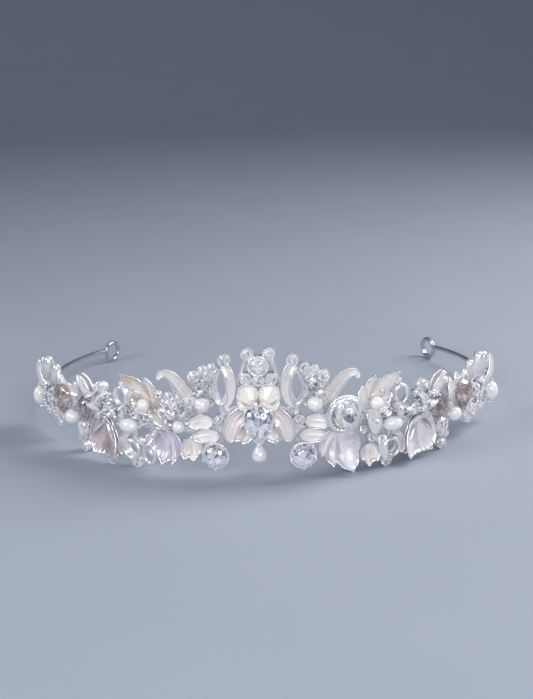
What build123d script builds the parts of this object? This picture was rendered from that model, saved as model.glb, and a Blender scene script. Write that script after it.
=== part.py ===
"""Bridal tiara: a wire bow with eye loops that carries five soldered sprays of leaves, stones and pearls.

Everything on the bow is placed by its arc length s from the front centre, its height above the table and
its lift off the spray's plane.  Seen from the decorated front, +X is right; +Y is back; +Z is up.
"""

from build123d import *
from math import asin, atan2, cos, degrees, hypot, pi, radians, sin
import os

os.makedirs("parts", exist_ok=True)

# ---------------------------------------------------------------- bow
wire_radius = 0.8
front_radius = 75.0
front_half_angle = 40.0
side_radius = 64.0
side_angle = 82.0
front_height = 14.0
front_y = -49.15

# ---------------------------------------------------------------- eye loops at the bow's ends
loop_radius = 3.2
loop_bore = 2.55
loop_neck = 1.5
loop_step = 1.2

# ---------------------------------------------------------------- binding coils
coil_s = 90.0
coil_turns = 7
coil_wire = 0.25
coil_pitch = 0.46
coil_clearance = 0.04

# ---------------------------------------------------------------- sprays (soldered wire and strip frames)
strip = 1.0
stem = 1.0
rail = 2.0
saddle_length = 2.4
saddle_height = 3.0
spray_centre = 0.0
spray_inner = 15.0
spray_mid = 33.0
spray_outer = 52.0
spray_end = 73.0

# ---------------------------------------------------------------- leaves
leaf_thickness = 0.7
leaf_gap = 0.25
rib_width = 0.55
rib_height = 0.3
rib_reach = 0.93
leaf_reach = 9.0
foot_radius = 0.9

# ---------------------------------------------------------------- stones and their cups
stone_radius = 1.35
stone_small = 1.1
cup_wall = 0.35
cup_depth = 1.3
cup_lip = 0.15
prong_size = 0.5
prong_rise = 0.55
crown_share = 0.5
pavilion_share = 0.75
head_waist = 0.42
head_rim = 1.09
claw_size = 0.65
claw_grip = 0.9
claw_spread = 1.03

# ---------------------------------------------------------------- beads on their wires
bead_wire = 0.25
bead_clearance = 0.05
bead_post = 0.4
post_rise = 0.1
bead_gap = 0.2

# ---------------------------------------------------------------- worked out
front_arc = radians(front_half_angle) * front_radius
band_end = front_arc + radians(side_angle) * side_radius
side_centre_x = (front_radius - side_radius) * sin(radians(front_half_angle))
side_centre_y = front_radius - (front_radius - side_radius) * cos(radians(front_half_angle))
end_heading = radians(front_half_angle + side_angle)
loop_height = loop_radius + wire_radius
end_height = loop_height + loop_step
end_y = side_centre_y - side_radius * cos(end_heading)
bow_tilt = asin((front_height - end_height) / end_y)
bow_plane = Plane(
    origin=(0, front_y, front_height),
    x_dir=(1, 0, 0),
    z_dir=(0, sin(bow_tilt), cos(bow_tilt)),
)
leaf_floor = strip + leaf_gap


def bow_point(s, out=0.0):
    """The bow's own coordinates, in its tilted plane, of arc length s, and the heading there."""
    if s <= front_arc:
        heading = s / front_radius
        return out * sin(heading) + front_radius * sin(heading), front_radius - (
            front_radius + out
        ) * cos(heading), heading
    heading = radians(front_half_angle) + (s - front_arc) / side_radius
    x = side_centre_x + (side_radius + out) * sin(heading)
    y = side_centre_y - (side_radius + out) * cos(heading)
    return x, y, heading


def bow_height(s):
    """Height of the bow's wire above the table at arc length s."""
    return front_height - bow_point(s)[1] * sin(bow_tilt)


def upright(s, height=0.0, out=0.0):
    """Upright plane at arc length s: its x follows the bow, its y is up and its z points outward."""
    x, y, heading = bow_point(s)
    foot = Vector(x, front_y + y * cos(bow_tilt), height)
    along = Vector(cos(heading), sin(heading), 0)
    outward = Vector(sin(heading), -cos(heading), 0)
    return Plane(origin=foot + outward * out, x_dir=along, z_dir=outward)


class Spray:
    """The flat back plane of one spray, with places given by arc length, height and lift off the plane."""

    def __init__(self, s):
        self.s = s
        self.plane = upright(s, 0.0, wire_radius)

    def place(self, s, height, lift=0.0):
        return self.plane.from_local_coords(Vector(s - self.s, height, lift))

    def at(self, s, height, lift=0.0, turn=0.0):
        """Plane parallel to the spray, standing off it by lift, turned about its own normal."""
        plane = Plane(origin=self.place(s, height, lift), x_dir=self.plane.x_dir, z_dir=self.plane.z_dir)
        return plane.rotated((0, 0, turn))

    def flat(self, s, height):
        return s - self.s, height


centre = Spray(spray_centre)
inner = Spray(spray_inner)
mid = Spray(spray_mid)
outer = Spray(spray_outer)
end = Spray(spray_end)


# ---------------------------------------------------------------- shared shapes
def bars(points, width):
    """Round-ended strips from point to point, in the open sketch."""
    for (x0, y0), (x1, y1) in zip(points, points[1:]):
        with Locations(((x0 + x1) / 2, (y0 + y1) / 2)):
            SlotCenterToCenter(hypot(x1 - x0, y1 - y0), width, rotation=degrees(atan2(y1 - y0, x1 - x0)))


def pointed_oval(start, angle, length, width, mode=Mode.ADD):
    """A leaf blade with pointed ends, from start, in the open sketch."""
    along = Vector(1, 0, 0).rotate(Axis.Z, angle)
    across = along.rotate(Axis.Z, 90) * (width / 2)
    first = Vector(*start, 0)
    last = first + along * length
    belly = first + along * (length * 0.5)
    with BuildLine() as rim:
        ThreePointArc(first, belly + across, last)
        ThreePointArc(last, belly - across, first)
    make_face(rim.edges(), mode=mode)


def round_oval(start, angle, length, width):
    """A petal blade with round ends, from start, in the open sketch."""
    along = Vector(1, 0, 0).rotate(Axis.Z, angle)
    middle = Vector(*start, 0) + along * (length / 2)
    with Locations(middle):
        Ellipse(length / 2, width / 2, rotation=angle)


def rib(start, angle, length):
    """A straight rib with round ends, from start, in the open sketch."""
    along = Vector(1, 0, 0).rotate(Axis.Z, angle)
    with Locations(Vector(*start, 0) + along * (length / 2)):
        SlotOverall(length, rib_width, rotation=angle)


def rod(start, finish, radius, side=None):
    """A straight round rod between two points, in the open part; side turns it about its own axis."""
    run = finish - start
    with Locations(Plane(origin=start, x_dir=side, z_dir=run).location):
        Cylinder(radius, run.length, align=(Align.CENTER, Align.CENTER, Align.MIN))


def saddles(spray, spread):
    """Blocks behind the strip that hold the bow in half-round seats, in the open part."""
    for s in (spray.s - spread, spray.s + spread):
        seat = spray.at(s, bow_height(s), -wire_radius)
        with Locations(seat.location):
            Box(
                saddle_length,
                saddle_height,
                wire_radius + strip / 2,
                align=(Align.CENTER, Align.CENTER, Align.MIN),
            )


def bead_string(spray, start, finish, lift):
    """Two posts and the fine wire between them, which beads turn on, in the open part."""
    across = (spray.place(*finish) - spray.place(*start)).cross(spray.plane.z_dir)
    for s, height in (start, finish):
        foot = spray.place(s, height, strip / 2)
        top = spray.place(s, height, lift + bead_wire + post_rise)
        rod(foot, top, bead_post, across)
    rod(spray.place(*start, lift), spray.place(*finish, lift), bead_wire, across)


def round_outline(radius):
    return lambda turn, share: (radius * share * cos(turn), radius * share * sin(turn))


def oval_outline(half_width, half_height):
    return lambda turn, share: (half_width * share * cos(turn), half_height * share * sin(turn))


def pear_outline(width, height):
    """A teardrop with its point down."""

    def point(turn, share):
        t = turn + pi / 2
        swell = sin(t) * sin(t / 2) if t <= 2 * pi else sin(t) * sin((t - 2 * pi) / 2)
        return width / 2 / 0.77 * swell * share, -height / 2 * cos(t) * share

    return point


def cut_stone(seat, outline, half_size, sides):
    """A faceted stone whose girdle lies in the seat plane: table, two rows of crown facets, pavilion."""
    crown = half_size * crown_share
    pavilion = half_size * pavilion_share
    step = 2 * pi / sides

    def ring(share, height, offset):
        corners = [outline((i + offset) * step, share) for i in range(sides)]
        return [seat.from_local_coords(Vector(x, y, height)) for x, y in corners]

    table = ring(0.56, crown, 0.0)
    shoulder = ring(0.84, crown * 0.62, 0.5)
    girdle = ring(1.0, 0.0, 0.0)
    culet = seat.from_local_coords(Vector(0, 0, -pavilion))
    faces = [Face(Wire.make_polygon(table))]
    for i in range(sides):
        j = (i + 1) % sides
        for corners in (
            (table[i], shoulder[i], table[j]),
            (shoulder[i - 1], shoulder[i], table[i]),
            (shoulder[i], girdle[i], girdle[j]),
            (shoulder[i - 1], girdle[i], shoulder[i]),
            (girdle[i], culet, girdle[j]),
        ):
            faces.append(Face(Wire.make_polygon(corners)))
    return Solid(Shell(faces))


def small_stone(spray, s, height, radius):
    seat = spray.at(s, height, strip + cup_depth)
    return cut_stone(seat, round_outline(radius), radius, 8)


def small_cups(spray, places):
    """Round cups with four prongs each on the strip's front, in the open part."""
    for radius in sorted({place[2] for place in places}):
        seats = [spray.at(s, height, strip / 2).location for s, height, r in places if r == radius]
        with Locations(*seats):
            Cylinder(
                radius + cup_wall,
                strip / 2 + cup_depth + cup_lip,
                align=(Align.CENTER, Align.CENTER, Align.MIN),
            )
        corners = PolarLocations(radius, 4, start_angle=45).local_locations
        with Locations(*[seat * corner for seat in seats for corner in corners]):
            Box(
                prong_size,
                prong_size,
                strip / 2 + cup_depth + prong_rise,
                align=(Align.CENTER, Align.CENTER, Align.MIN),
            )


def tall_head(spray, place, outline, sides, stem_top, girdle, claws, turn=0, waist=head_waist, rim=head_rim):
    """A goblet whose claws grip a large stone at its girdle, in the open part; claws are their angles."""
    levels = ((strip / 2, waist), (stem_top, waist), (girdle + cup_lip, rim))
    for (low, low_share), (high, high_share) in zip(levels, levels[1:]):
        rings = []
        for lift, share in ((low, low_share), (high, high_share)):
            with BuildSketch(spray.at(*place, lift, turn)) as ring:
                Polygon(*[outline(i * 2 * pi / sides, share) for i in range(sides)], align=None)
            rings.append(ring.sketch)
        loft(rings, ruled=True)
    stand_claws(spray, place, outline, claws, girdle - claw_grip, girdle + claw_grip, turn)


def stand_claws(spray, place, outline, claws, base, top, turn=0):
    """Square claws that stand round a stone from base to top, in the open part."""
    seat = spray.at(*place, base, turn).location
    feet = [outline(radians(angle), claw_spread) for angle in claws]
    with Locations(*[seat * Location((x, y, 0)) for x, y in feet]):
        Box(claw_size, claw_size, top - base, align=(Align.CENTER, Align.CENTER, Align.MIN))


def standing_rod(spray, place, radius, length):
    """A round rod that stands on the strip, in the open part."""
    with Locations(spray.at(*place, strip / 2).location):
        Cylinder(radius, length, align=(Align.CENTER, Align.CENTER, Align.MIN))


def leaf(spray, blade, start, lobes, dish, foot, base=0.0, hooks=()):
    """A cast leaf: lobes from one start, dished on a ball, with a raised rib down each lobe and a foot.

    lobes are (angle, length, width); dish is (s, height, ball radius, lift of the ball's nearest point);
    base is the radius of a disc that joins the lobes at their start; hooks are (place, angle, length, width).
    """
    s0, height0, ball, lift = dish
    hub = Plane(
        origin=spray.place(s0, height0, lift + ball),
        x_dir=spray.plane.z_dir,
        z_dir=spray.plane.y_dir,
    ).location
    middle_ball = ball - leaf_thickness / 2
    away = hypot(foot[0] - s0, foot[1] - height0)
    foot_top = lift + ball - (middle_ball**2 - away**2) ** 0.5
    flat = spray.at(spray.s, 0)
    with BuildPart() as ribs:
        with BuildSketch(flat):
            for angle, length, _ in lobes:
                rib(spray.flat(*start), angle, length * rib_reach)
        extrude(amount=leaf_reach)
        with Locations(hub):
            Sphere(middle_ball, mode=Mode.INTERSECT)
            Sphere(ball - leaf_thickness - rib_height, mode=Mode.SUBTRACT)
    with BuildPart() as casting:
        with BuildSketch(flat):
            for angle, length, width in lobes:
                blade(spray.flat(*start), angle, length, width)
            for place, angle, length, width in hooks:
                blade(spray.flat(*place), angle, length, width)
            if base:
                with Locations(spray.flat(*start)):
                    Circle(base)
        extrude(amount=leaf_reach)
        with Locations(hub):
            Sphere(ball, mode=Mode.INTERSECT)
            Sphere(ball - leaf_thickness, mode=Mode.SUBTRACT)
        add(ribs.part)
        rod(spray.place(*foot, strip), spray.place(*foot, foot_top), foot_radius)
    return casting.part


def mirrored(part):
    with BuildPart() as twin:
        mirror(part, about=Plane.YZ)
    return twin.part


def save(part, name):
    part.label = name
    export_step(part, f"parts/{name}.step")


def save_pair(part, name):
    save(part, name + "_right")
    save(mirrored(part), name + "_left")


# ---------------------------------------------------------------- bow, loops and binding
with BuildPart() as headband:
    with BuildLine(bow_plane) as spine:
        CenterArc(
            (-side_centre_x, side_centre_y),
            side_radius,
            270 - front_half_angle - side_angle,
            side_angle,
        )
        CenterArc((0, front_radius), front_radius, 270 - front_half_angle, 2 * front_half_angle)
        CenterArc((side_centre_x, side_centre_y), side_radius, 270 + front_half_angle, side_angle)
    with BuildSketch(Plane(origin=spine.line @ 0, z_dir=spine.line % 0)):
        Circle(wire_radius)
    sweep()
save(headband.part, "headband")

with BuildPart() as end_loop:
    bow_end = bow_plane.from_local_coords(Vector(*bow_point(band_end)[:2], 0))
    bow_run = bow_plane.from_local_coords(Vector(*bow_point(band_end + 1)[:2], 0)) - bow_end
    bow_run = bow_run.normalized()
    eye = upright(band_end)
    neck_reach = (loop_radius**2 - loop_step**2) ** 0.5
    rod(bow_end, bow_end + bow_run * loop_neck, wire_radius)
    neck_tip = bow_end + bow_run * loop_neck
    eye_centre = neck_tip + eye.x_dir * neck_reach
    eye_plane = Plane(
        origin=(eye_centre.X, eye_centre.Y, loop_height), x_dir=eye.x_dir, z_dir=eye.z_dir
    )
    with Locations(eye_plane.location):
        Torus(loop_radius, wire_radius)
        Cylinder(loop_bore, 4 * wire_radius, mode=Mode.SUBTRACT)
save_pair(end_loop.part, "end_loop")

with BuildPart() as coils:
    coil_seat = upright(coil_s, bow_height(coil_s))
    coil_run = Vector(coil_seat.x_dir.X, coil_seat.x_dir.Y, -sin(bow_tilt) * coil_seat.x_dir.Y)
    coil_plane = Plane(origin=coil_seat.origin, x_dir=coil_run, z_dir=coil_seat.z_dir)
    coil_bore = wire_radius + coil_clearance
    with BuildSketch(coil_plane):
        with Locations((0, coil_bore + coil_wire / 2)):
            Rectangle((coil_turns - 1) * coil_pitch, coil_wire)
        with Locations((0, coil_bore + coil_wire)):
            with GridLocations(coil_pitch, 0, coil_turns, 1):
                Circle(coil_wire)
    revolve(axis=Axis(coil_plane.origin, coil_plane.x_dir))
    mirror(about=Plane.YZ)
save(coils.part, "binding_coils")

# ---------------------------------------------------------------- centre spray
top_stones = ((-2.9, 36.2), (2.9, 36.2))
row_stones = ((-3.4, 29.2), (0.0, 28.9), (3.4, 29.2))
crown_height = 33.0
crown_radius = 2.5
crown_girdle = strip + 1.9
pear_height = 17.4
pear_size = (8.0, 11.2)
pear_stem = 3.6
pear_girdle = 6.3
drop_height = 8.5
drop_radius = 2.15
drop_tall = 2.6
drop_lift = strip + 1.0 + drop_radius
crown_claw = 0.7
pear_sides = 14
low_claws = (45, 135, 200, 270, 340)
peg_radius = 1.2

pear_shape = pear_outline(*pear_size)
with BuildPart() as pear_stone:
    add(cut_stone(centre.at(0, pear_height, pear_girdle), pear_shape, pear_size[0] / 2, pear_sides))
save(pear_stone.part, "pear_crystal")

with BuildPart() as crown_stone:
    add(cut_stone(centre.at(0, crown_height, crown_girdle), round_outline(crown_radius), crown_radius, 10))
save(crown_stone.part, "crown_crystal")

with BuildPart() as drop:
    with BuildSketch(centre.at(0, drop_height, drop_lift)):
        with BuildLine():
            Spline(
                (0, drop_tall),
                (drop_radius * 0.72, drop_tall * 0.42),
                (drop_radius, -drop_tall * 0.2),
                (0, -drop_tall),
                tangents=((1, -0.35), (-1, 0)),
            )
            Line((0, -drop_tall), (0, drop_tall))
        make_face()
    revolve(axis=Axis(centre.place(0, drop_height, drop_lift), (0, 0, 1)))
save(drop.part, "drop_pearl")

centre_places = [(s, height, stone_radius) for s, height in top_stones + row_stones]
with BuildPart() as centre_stones:
    for place in centre_places:
        add(small_stone(centre, *place))
save(centre_stones.part, "rhinestones_centre")

with BuildPart() as centre_frame:
    with BuildSketch(centre.at(0, 0)):
        bars([(0, drop_height - 0.4), (0, crown_height)], rail)
        bars([(-6.2, front_height), (6.2, front_height)], rail)
        bars([(-6.2, front_height), (-4.4, 25.0), (-5.2, 29.3), top_stones[0]], stem)
        bars([(6.2, front_height), (4.4, 25.0), (5.2, 29.3), top_stones[1]], stem)
        bars([(-5.2, 29.3), row_stones[0], row_stones[1], row_stones[2], (5.2, 29.3)], stem)
        bars([(-4.4, 25.0), (4.4, 25.0)], stem)
    extrude(amount=strip)
    saddles(centre, 3.6)
    small_cups(centre, centre_places)
    standing_rod(centre, (0, crown_height), crown_radius + cup_wall, crown_girdle + cup_lip - strip / 2)
    crown_shape = round_outline(crown_radius)
    crown_top = crown_girdle + crown_claw
    stand_claws(centre, (0, crown_height), crown_shape, range(30, 390, 60), strip / 2, crown_top)
    tall_head(centre, (0, pear_height), pear_shape, pear_sides, pear_stem, pear_girdle, low_claws)
    standing_rod(centre, (0, drop_height), peg_radius, drop_lift - strip)
    for held in (headband, centre_stones, crown_stone, pear_stone, drop):
        add(held.part, mode=Mode.SUBTRACT)
save(centre_frame.part, "centre_frame")

cupped_petal = leaf(
    centre,
    round_oval,
    (1.7, 22.4),
    ((62, 5.2, 4.6), (30, 4.2, 3.0), (88, 4.8, 2.6)),
    (2.9, 25.0, 8.5, leaf_floor),
    (2.9, 25.0),
)
save_pair(cupped_petal, "cupped_petal")

trumpet_petal = leaf(
    centre,
    round_oval,
    (2.6, 19.4),
    ((8, 5.2, 3.6), (-16, 5.8, 3.2), (-38, 6.8, 3.0), (-58, 8.2, 3.0), (-78, 7.8, 2.6)),
    (5.2, 15.4, 12.0, leaf_floor),
    (5.0, 14.4),
)
save_pair(trumpet_petal, "trumpet_petal")

# ---------------------------------------------------------------- inner sprays
inner_rail = bow_height(spray_inner)
eye_middle = (9.9, 26.6)
eye_outer = (10.4, 5.0)
eye_inner = (7.8, 2.6)
inner_stones = ((8.6, 34.4, stone_radius), (12.0, 32.0, stone_small), (14.6, 31.2, stone_small),
                (17.2, 29.4, stone_radius), (10.2, 17.0, stone_radius))
left_stones = ((18.9, 22.3, stone_small), (21.7, 22.8, stone_small), (24.5, 23.2, stone_small))
rondelle_radius = 1.75
rondelle_length = 1.7
pearl_radius = 2.2
inner_rondelles = ((12.4, 26.8), (16.8, 26.8))
inner_pearl = ((11.95, 22.0), (17.25, 22.0))
low_crystal = (10.9, 7.7)
low_radius = 3.5
low_sides = 12
low_stem = 2.9
low_girdle = 5.0
oval_crystal = (22.4, 18.6)
oval_size = (3.6, 4.4)
oval_turn = -30
oval_claws = (45, 135, 225, 315)
oval_stem = 3.2
oval_girdle = 5.4
cluster_pearl = (22.0, 14.6)
cluster_pearl_radius = 1.9
pearl_seat = 0.6
left_rondelles = ((18.5, 17.0), (21.8, 19.95))


def string_lift(radius):
    return strip + bead_gap * 2 + radius


def bead_axis(spray, start, finish, radius):
    """Plane at the middle of a bead wire, its z along the wire."""
    lift = string_lift(radius)
    first = spray.place(*start, lift)
    last = spray.place(*finish, lift)
    return Plane(origin=(first + last) / 2, x_dir=spray.plane.z_dir, z_dir=last - first)


def round_bead(spray, start, finish, radius, half_length):
    """A round or rice pearl drilled through for its wire."""
    seat = bead_axis(spray, start, finish, radius)
    with BuildPart() as bead:
        with BuildSketch(Plane(origin=seat.origin, x_dir=seat.z_dir, z_dir=seat.x_dir)):
            Ellipse(half_length, radius)
            with Locations((0, -radius)):
                Rectangle(2 * half_length, 2 * radius, mode=Mode.SUBTRACT)
        revolve(axis=Axis(seat.origin, seat.z_dir))
        with Locations(seat.location):
            Cylinder(bead_wire + bead_clearance, 3 * half_length, mode=Mode.SUBTRACT)
    return bead.part


def rondelles(spray, start, finish, count):
    """Faceted discs drilled through and strung side by side on one wire."""
    seat = bead_axis(spray, start, finish, rondelle_radius)
    with BuildPart() as beads:
        for i in range(count):
            middle = (i - (count - 1) / 2) * (rondelle_length + bead_gap / 2)
            for way in (-1, 1):
                discs = []
                for along, share in ((0, 1), (way * rondelle_length / 2, 0.62)):
                    with BuildSketch(seat.offset(middle + along)) as disc:
                        RegularPolygon(rondelle_radius * share, 10)
                    discs.append(disc.sketch)
                loft(discs, ruled=True)
        with Locations(seat.location):
            Cylinder(bead_wire + bead_clearance, 20, mode=Mode.SUBTRACT)
    return beads.part


def stones(spray, places):
    with BuildPart() as group:
        for s, height, radius in places:
            add(small_stone(spray, s, height, radius))
    return group.part


def glued_pearl(spray, s, height, radius, lift):
    with BuildPart() as pearl:
        with Locations(spray.at(s, height, lift).location):
            Sphere(radius)
    return pearl.part


low_shape = round_outline(low_radius)
low_stone = cut_stone(inner.at(*low_crystal, low_girdle), low_shape, low_radius, low_sides)
oval_shape = oval_outline(*oval_size)
oval_stone = cut_stone(inner.at(*oval_crystal, oval_girdle, oval_turn), oval_shape, oval_size[0], low_sides)
inner_pearl_bead = round_bead(inner, *inner_pearl, pearl_radius, pearl_radius)
inner_rondelle_beads = rondelles(inner, *inner_rondelles, 2)
left_rondelle_beads = rondelles(inner, *left_rondelles, 2)
inner_small = stones(inner, inner_stones)
left_small = stones(inner, left_stones)
cluster = glued_pearl(inner, *cluster_pearl, cluster_pearl_radius, strip + cluster_pearl_radius * 0.8)


def inner_frame(left):
    flat = inner.flat
    with BuildPart() as frame:
        with BuildSketch(inner.at(spray_inner, 0)):
            pointed_oval(flat(eye_middle[0], eye_middle[1] - eye_outer[0] / 2), 90, *eye_outer)
            bars([flat(8.4, inner_rail), flat(23.4, inner_rail)], rail)
            bars([flat(9.9, 31.0), flat(8.6, 34.4)], stem)
            bars([flat(9.9, 22.4), flat(9.6, inner_rail), flat(*low_crystal)], stem * 1.3)
            bars([flat(11.2, 29.6), flat(12.0, 32.0), flat(14.6, 31.2), flat(17.2, 29.4)], stem)
            bars([flat(17.2, 29.4), flat(17.6, 22.0), flat(15.6, inner_rail)], stem)
            bars([flat(10.4, 22.0), flat(17.6, 22.0)], stem)
            bars([flat(11.4, 26.8), flat(21.0, 26.8)], stem)
            bars([flat(13.6, 16.4), flat(13.6, 12.0)], stem * 1.3)
            if left:
                bars([flat(17.6, 22.0), flat(18.9, 22.3), flat(21.7, 22.8), flat(24.5, 23.2)], stem)
                bars([flat(18.5, 17.0), flat(21.8, 19.95), flat(21.7, 22.8)], stem)
                bars([flat(18.5, 17.0), flat(18.0, inner_rail)], stem)
                bars([flat(*cluster_pearl), flat(21.6, inner_rail)], stem * 1.3)
                bars([flat(17.9, inner_rail), flat(18.0, 8.8)], stem * 1.3)
            else:
                bars([flat(17.0, 18.6), flat(*oval_crystal)], stem * 1.6)
                bars([flat(*oval_crystal), flat(21.0, inner_rail), flat(20.8, 10.6)], stem * 1.6)
            eye_foot = flat(eye_middle[0], eye_middle[1] - eye_inner[0] / 2)
            pointed_oval(eye_foot, 90, *eye_inner, mode=Mode.SUBTRACT)
        extrude(amount=strip)
        saddles(inner, 4.8)
        small_cups(inner, inner_stones + (left_stones if left else ()))
        tall_head(inner, low_crystal, low_shape, low_sides, low_stem, low_girdle, low_claws)
        bead_string(inner, *inner_rondelles, string_lift(rondelle_radius))
        bead_string(inner, *inner_pearl, string_lift(pearl_radius))
        held = [headband.part, inner_small, low_stone]
        if left:
            bead_string(inner, *left_rondelles, string_lift(rondelle_radius))
            standing_rod(inner, cluster_pearl, peg_radius, cluster_pearl_radius * pearl_seat)
            held += [left_small, cluster]
        else:
            tall_head(
                inner, oval_crystal, oval_shape, low_sides, oval_stem, oval_girdle, oval_claws, oval_turn
            )
            held += [oval_stone]
        for piece in held:
            add(piece, mode=Mode.SUBTRACT)
    return frame.part


save(inner_frame(False), "inner_frame_right")
save(mirrored(inner_frame(True)), "inner_frame_left")

curl_leaf = leaf(
    inner,
    pointed_oval,
    (18.0, 24.2),
    ((52, 9.4, 2.8), (28, 8.6, 2.2)),
    (20.4, 27.4, 16.0, leaf_floor),
    (20.2, 26.8),
    hooks=(((22.4, 30.2), -22, 4.4, 1.8),),
)
save_pair(curl_leaf, "curl_leaf")

with BuildPart() as marquise_petals:
    add(
        leaf(
            inner,
            pointed_oval,
            (12.0, 16.8),
            ((-8, 6.2, 3.4),),
            (15.0, 16.3, 10.0, leaf_floor),
            (14.2, 16.2),
        )
    )
    add(
        leaf(
            inner,
            pointed_oval,
            (10.4, 12.6),
            ((-6, 6.6, 3.2),),
            (13.8, 12.3, 10.0, leaf_floor),
            (13.7, 12.3),
        )
    )
save_pair(marquise_petals.part, "marquise_petals")

with BuildPart() as right_crystal:
    add(low_stone)
save_pair(right_crystal.part, "low_crystal")

with BuildPart() as right_oval:
    add(oval_stone)
save(right_oval.part, "oval_crystal_right")

fan_leaf_right = leaf(
    inner,
    pointed_oval,
    (20.8, 13.2),
    ((-142, 4.4, 2.6), (-124, 8.0, 3.8), (-97, 9.6, 4.2), (-70, 11.8, 4.6), (-42, 8.0, 3.8)),
    (21.6, 9.0, 14.0, leaf_floor),
    (20.8, 11.0),
)
save(fan_leaf_right, "fan_leaf_right")

save_pair(inner_pearl_bead, "round_pearl")
save_pair(inner_rondelle_beads, "rondelles_inner")

save(mirrored(left_rondelle_beads), "rondelles_cluster_left")

shell_petal_left = leaf(
    inner,
    round_oval,
    (18.6, 11.4),
    ((-124, 4.6, 2.75), (-96, 5.8, 2.48), (-72, 5.6, 2.53)),
    (18.3, 8.7, 9.0, leaf_floor),
    (18.1, 9.3),
    0.6,
)

# ---------------------------------------------------------------- middle sprays
mid_rail = bow_height(spray_mid)
oval_ring = (40.6, 20.4)
ring_low = (37.2, 5.4)
ring_radius = 2.1
mid_stones = ((30.8, 9.6, stone_small), (35.4, stone_radius + cup_wall, stone_radius))
rice_radius = 2.2
rice_half = 3.1
rice_pearl = ((33.0, 13.2), (40.2, 13.2))
mid_rondelles = ((36.3, 17.4), (40.7, 17.4))
leaf_pearl = (30.8, 20.4)
leaf_pearl_radius = 1.9
leaf_pearl_lift = 4.6

rice_bead = round_bead(mid, *rice_pearl, rice_radius, rice_half)
mid_beads = rondelles(mid, *mid_rondelles, 2)
mid_small = stones(mid, mid_stones)
pearl_on_leaf = glued_pearl(mid, *leaf_pearl, leaf_pearl_radius, leaf_pearl_lift)


def mid_frame(left):
    flat = mid.flat
    with BuildPart() as frame:
        with BuildSketch(mid.at(spray_mid, 0)):
            bars([flat(25.4, mid_rail), flat(41.4, mid_rail)], rail)
            bars([flat(30.6, 21.4), flat(30.6, mid_rail), flat(30.8, 9.6), flat(34.8, 7.0)], stem * 1.3)
            bars([flat(30.6, 17.4), flat(41.0, 17.4), flat(39.4, mid_rail)], stem)
            bars([flat(36.6, mid_rail), flat(37.0, 7.6)], stem)
            with Locations(flat(*oval_ring)):
                Ellipse(2.7, 3.3)
                Ellipse(1.7, 2.3, mode=Mode.SUBTRACT)
            with Locations(flat(*ring_low)):
                Circle(ring_radius + stem / 2)
                Circle(ring_radius - stem / 2, mode=Mode.SUBTRACT)
            if left:
                bars([flat(25.8, mid_rail), flat(24.8, 10.6)], stem * 1.3)
                with Locations(flat(30.4, 5.9)):
                    Circle(ring_radius + stem / 2)
                    Circle(ring_radius - stem / 2, mode=Mode.SUBTRACT)
            else:
                bars([flat(30.8, 9.6), flat(30.2, 6.4)], stem * 1.3)
        extrude(amount=strip)
        saddles(mid, 5.0)
        small_cups(mid, mid_stones)
        bead_string(mid, *rice_pearl, string_lift(rice_radius))
        bead_string(mid, *mid_rondelles, string_lift(rondelle_radius))
        add(mid_small, mode=Mode.SUBTRACT)
        add(headband.part, mode=Mode.SUBTRACT)
    return frame.part


save(mid_frame(False), "mid_frame_right")
save(mirrored(mid_frame(True)), "mid_frame_left")

with BuildPart() as maple_leaf:
    add(
        leaf(
            mid,
            pointed_oval,
            (29.2, 18.4),
            ((51, 12.0, 4.8), (82, 9.0, 4.4), (24, 7.4, 3.6), (108, 6.0, 3.0), (-6, 5.0, 2.4)),
            (31.6, 22.0, 15.0, leaf_floor),
            (30.6, 20.4),
        )
    )
    peg_foot = mid.place(*leaf_pearl, leaf_floor + leaf_thickness / 2)
    peg_top = mid.place(*leaf_pearl, leaf_pearl_lift - leaf_pearl_radius * 0.4)
    rod(peg_foot, peg_top, bead_post)
save_pair(maple_leaf.part, "maple_leaf")

shell_petal_right = leaf(
    mid,
    round_oval,
    (30.2, 7.6),
    ((-122, 4.4, 2.4), (-96, 5.2, 2.4), (-70, 4.6, 2.4)),
    (29.9, 5.4, 9.0, leaf_floor),
    (30.2, 6.2),
    0.5,
)
with BuildPart() as shell_petals:
    add(shell_petal_right)
    add(mirrored(shell_petal_left))
save(shell_petals.part, "shell_petals")

fan_leaf_left = leaf(
    mid,
    pointed_oval,
    (24.8, 12.8),
    ((-128, 7.0, 3.2), (-106, 8.4, 3.6), (-84, 8.6, 3.8), (-60, 6.8, 3.4), (-34, 4.0, 2.6)),
    (24.6, 9.6, 12.0, leaf_floor),
    (24.8, 11.2),
)
save(mirrored(fan_leaf_left), "fan_leaf_left")
save_pair(rice_bead, "rice_pearl")
save_pair(mid_beads, "rondelles_mid")

# ---------------------------------------------------------------- outer sprays
outer_stones = ((55.6, stone_radius + cup_wall + 0.1, stone_radius), (46.8, 22.2, stone_radius))
clear_pear = (53.8, 7.6)
clear_pear_size = (4.4, 5.8)
dark_gem = (52.4, 14.9)
dark_gem_size = (1.9, 2.3)
brown_pear = (62.4, 15.8)
brown_pear_size = (4.8, 6.4)
gem_stem = 1.8
gem_girdle = 3.6
gem_waist = 0.45
gem_rim = 1.13
gem_claws = (50, 130, 215, 325)
outer_rondelles = ((45.4, 18.2), (49.8, 18.2))
outer_pearl = ((56.4, 11.0), (61.6, 10.6))
outer_pearl_radius = 2.25
tip_pearl = (55.4, 21.6)
tip_pearl_radius = 1.5

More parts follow.
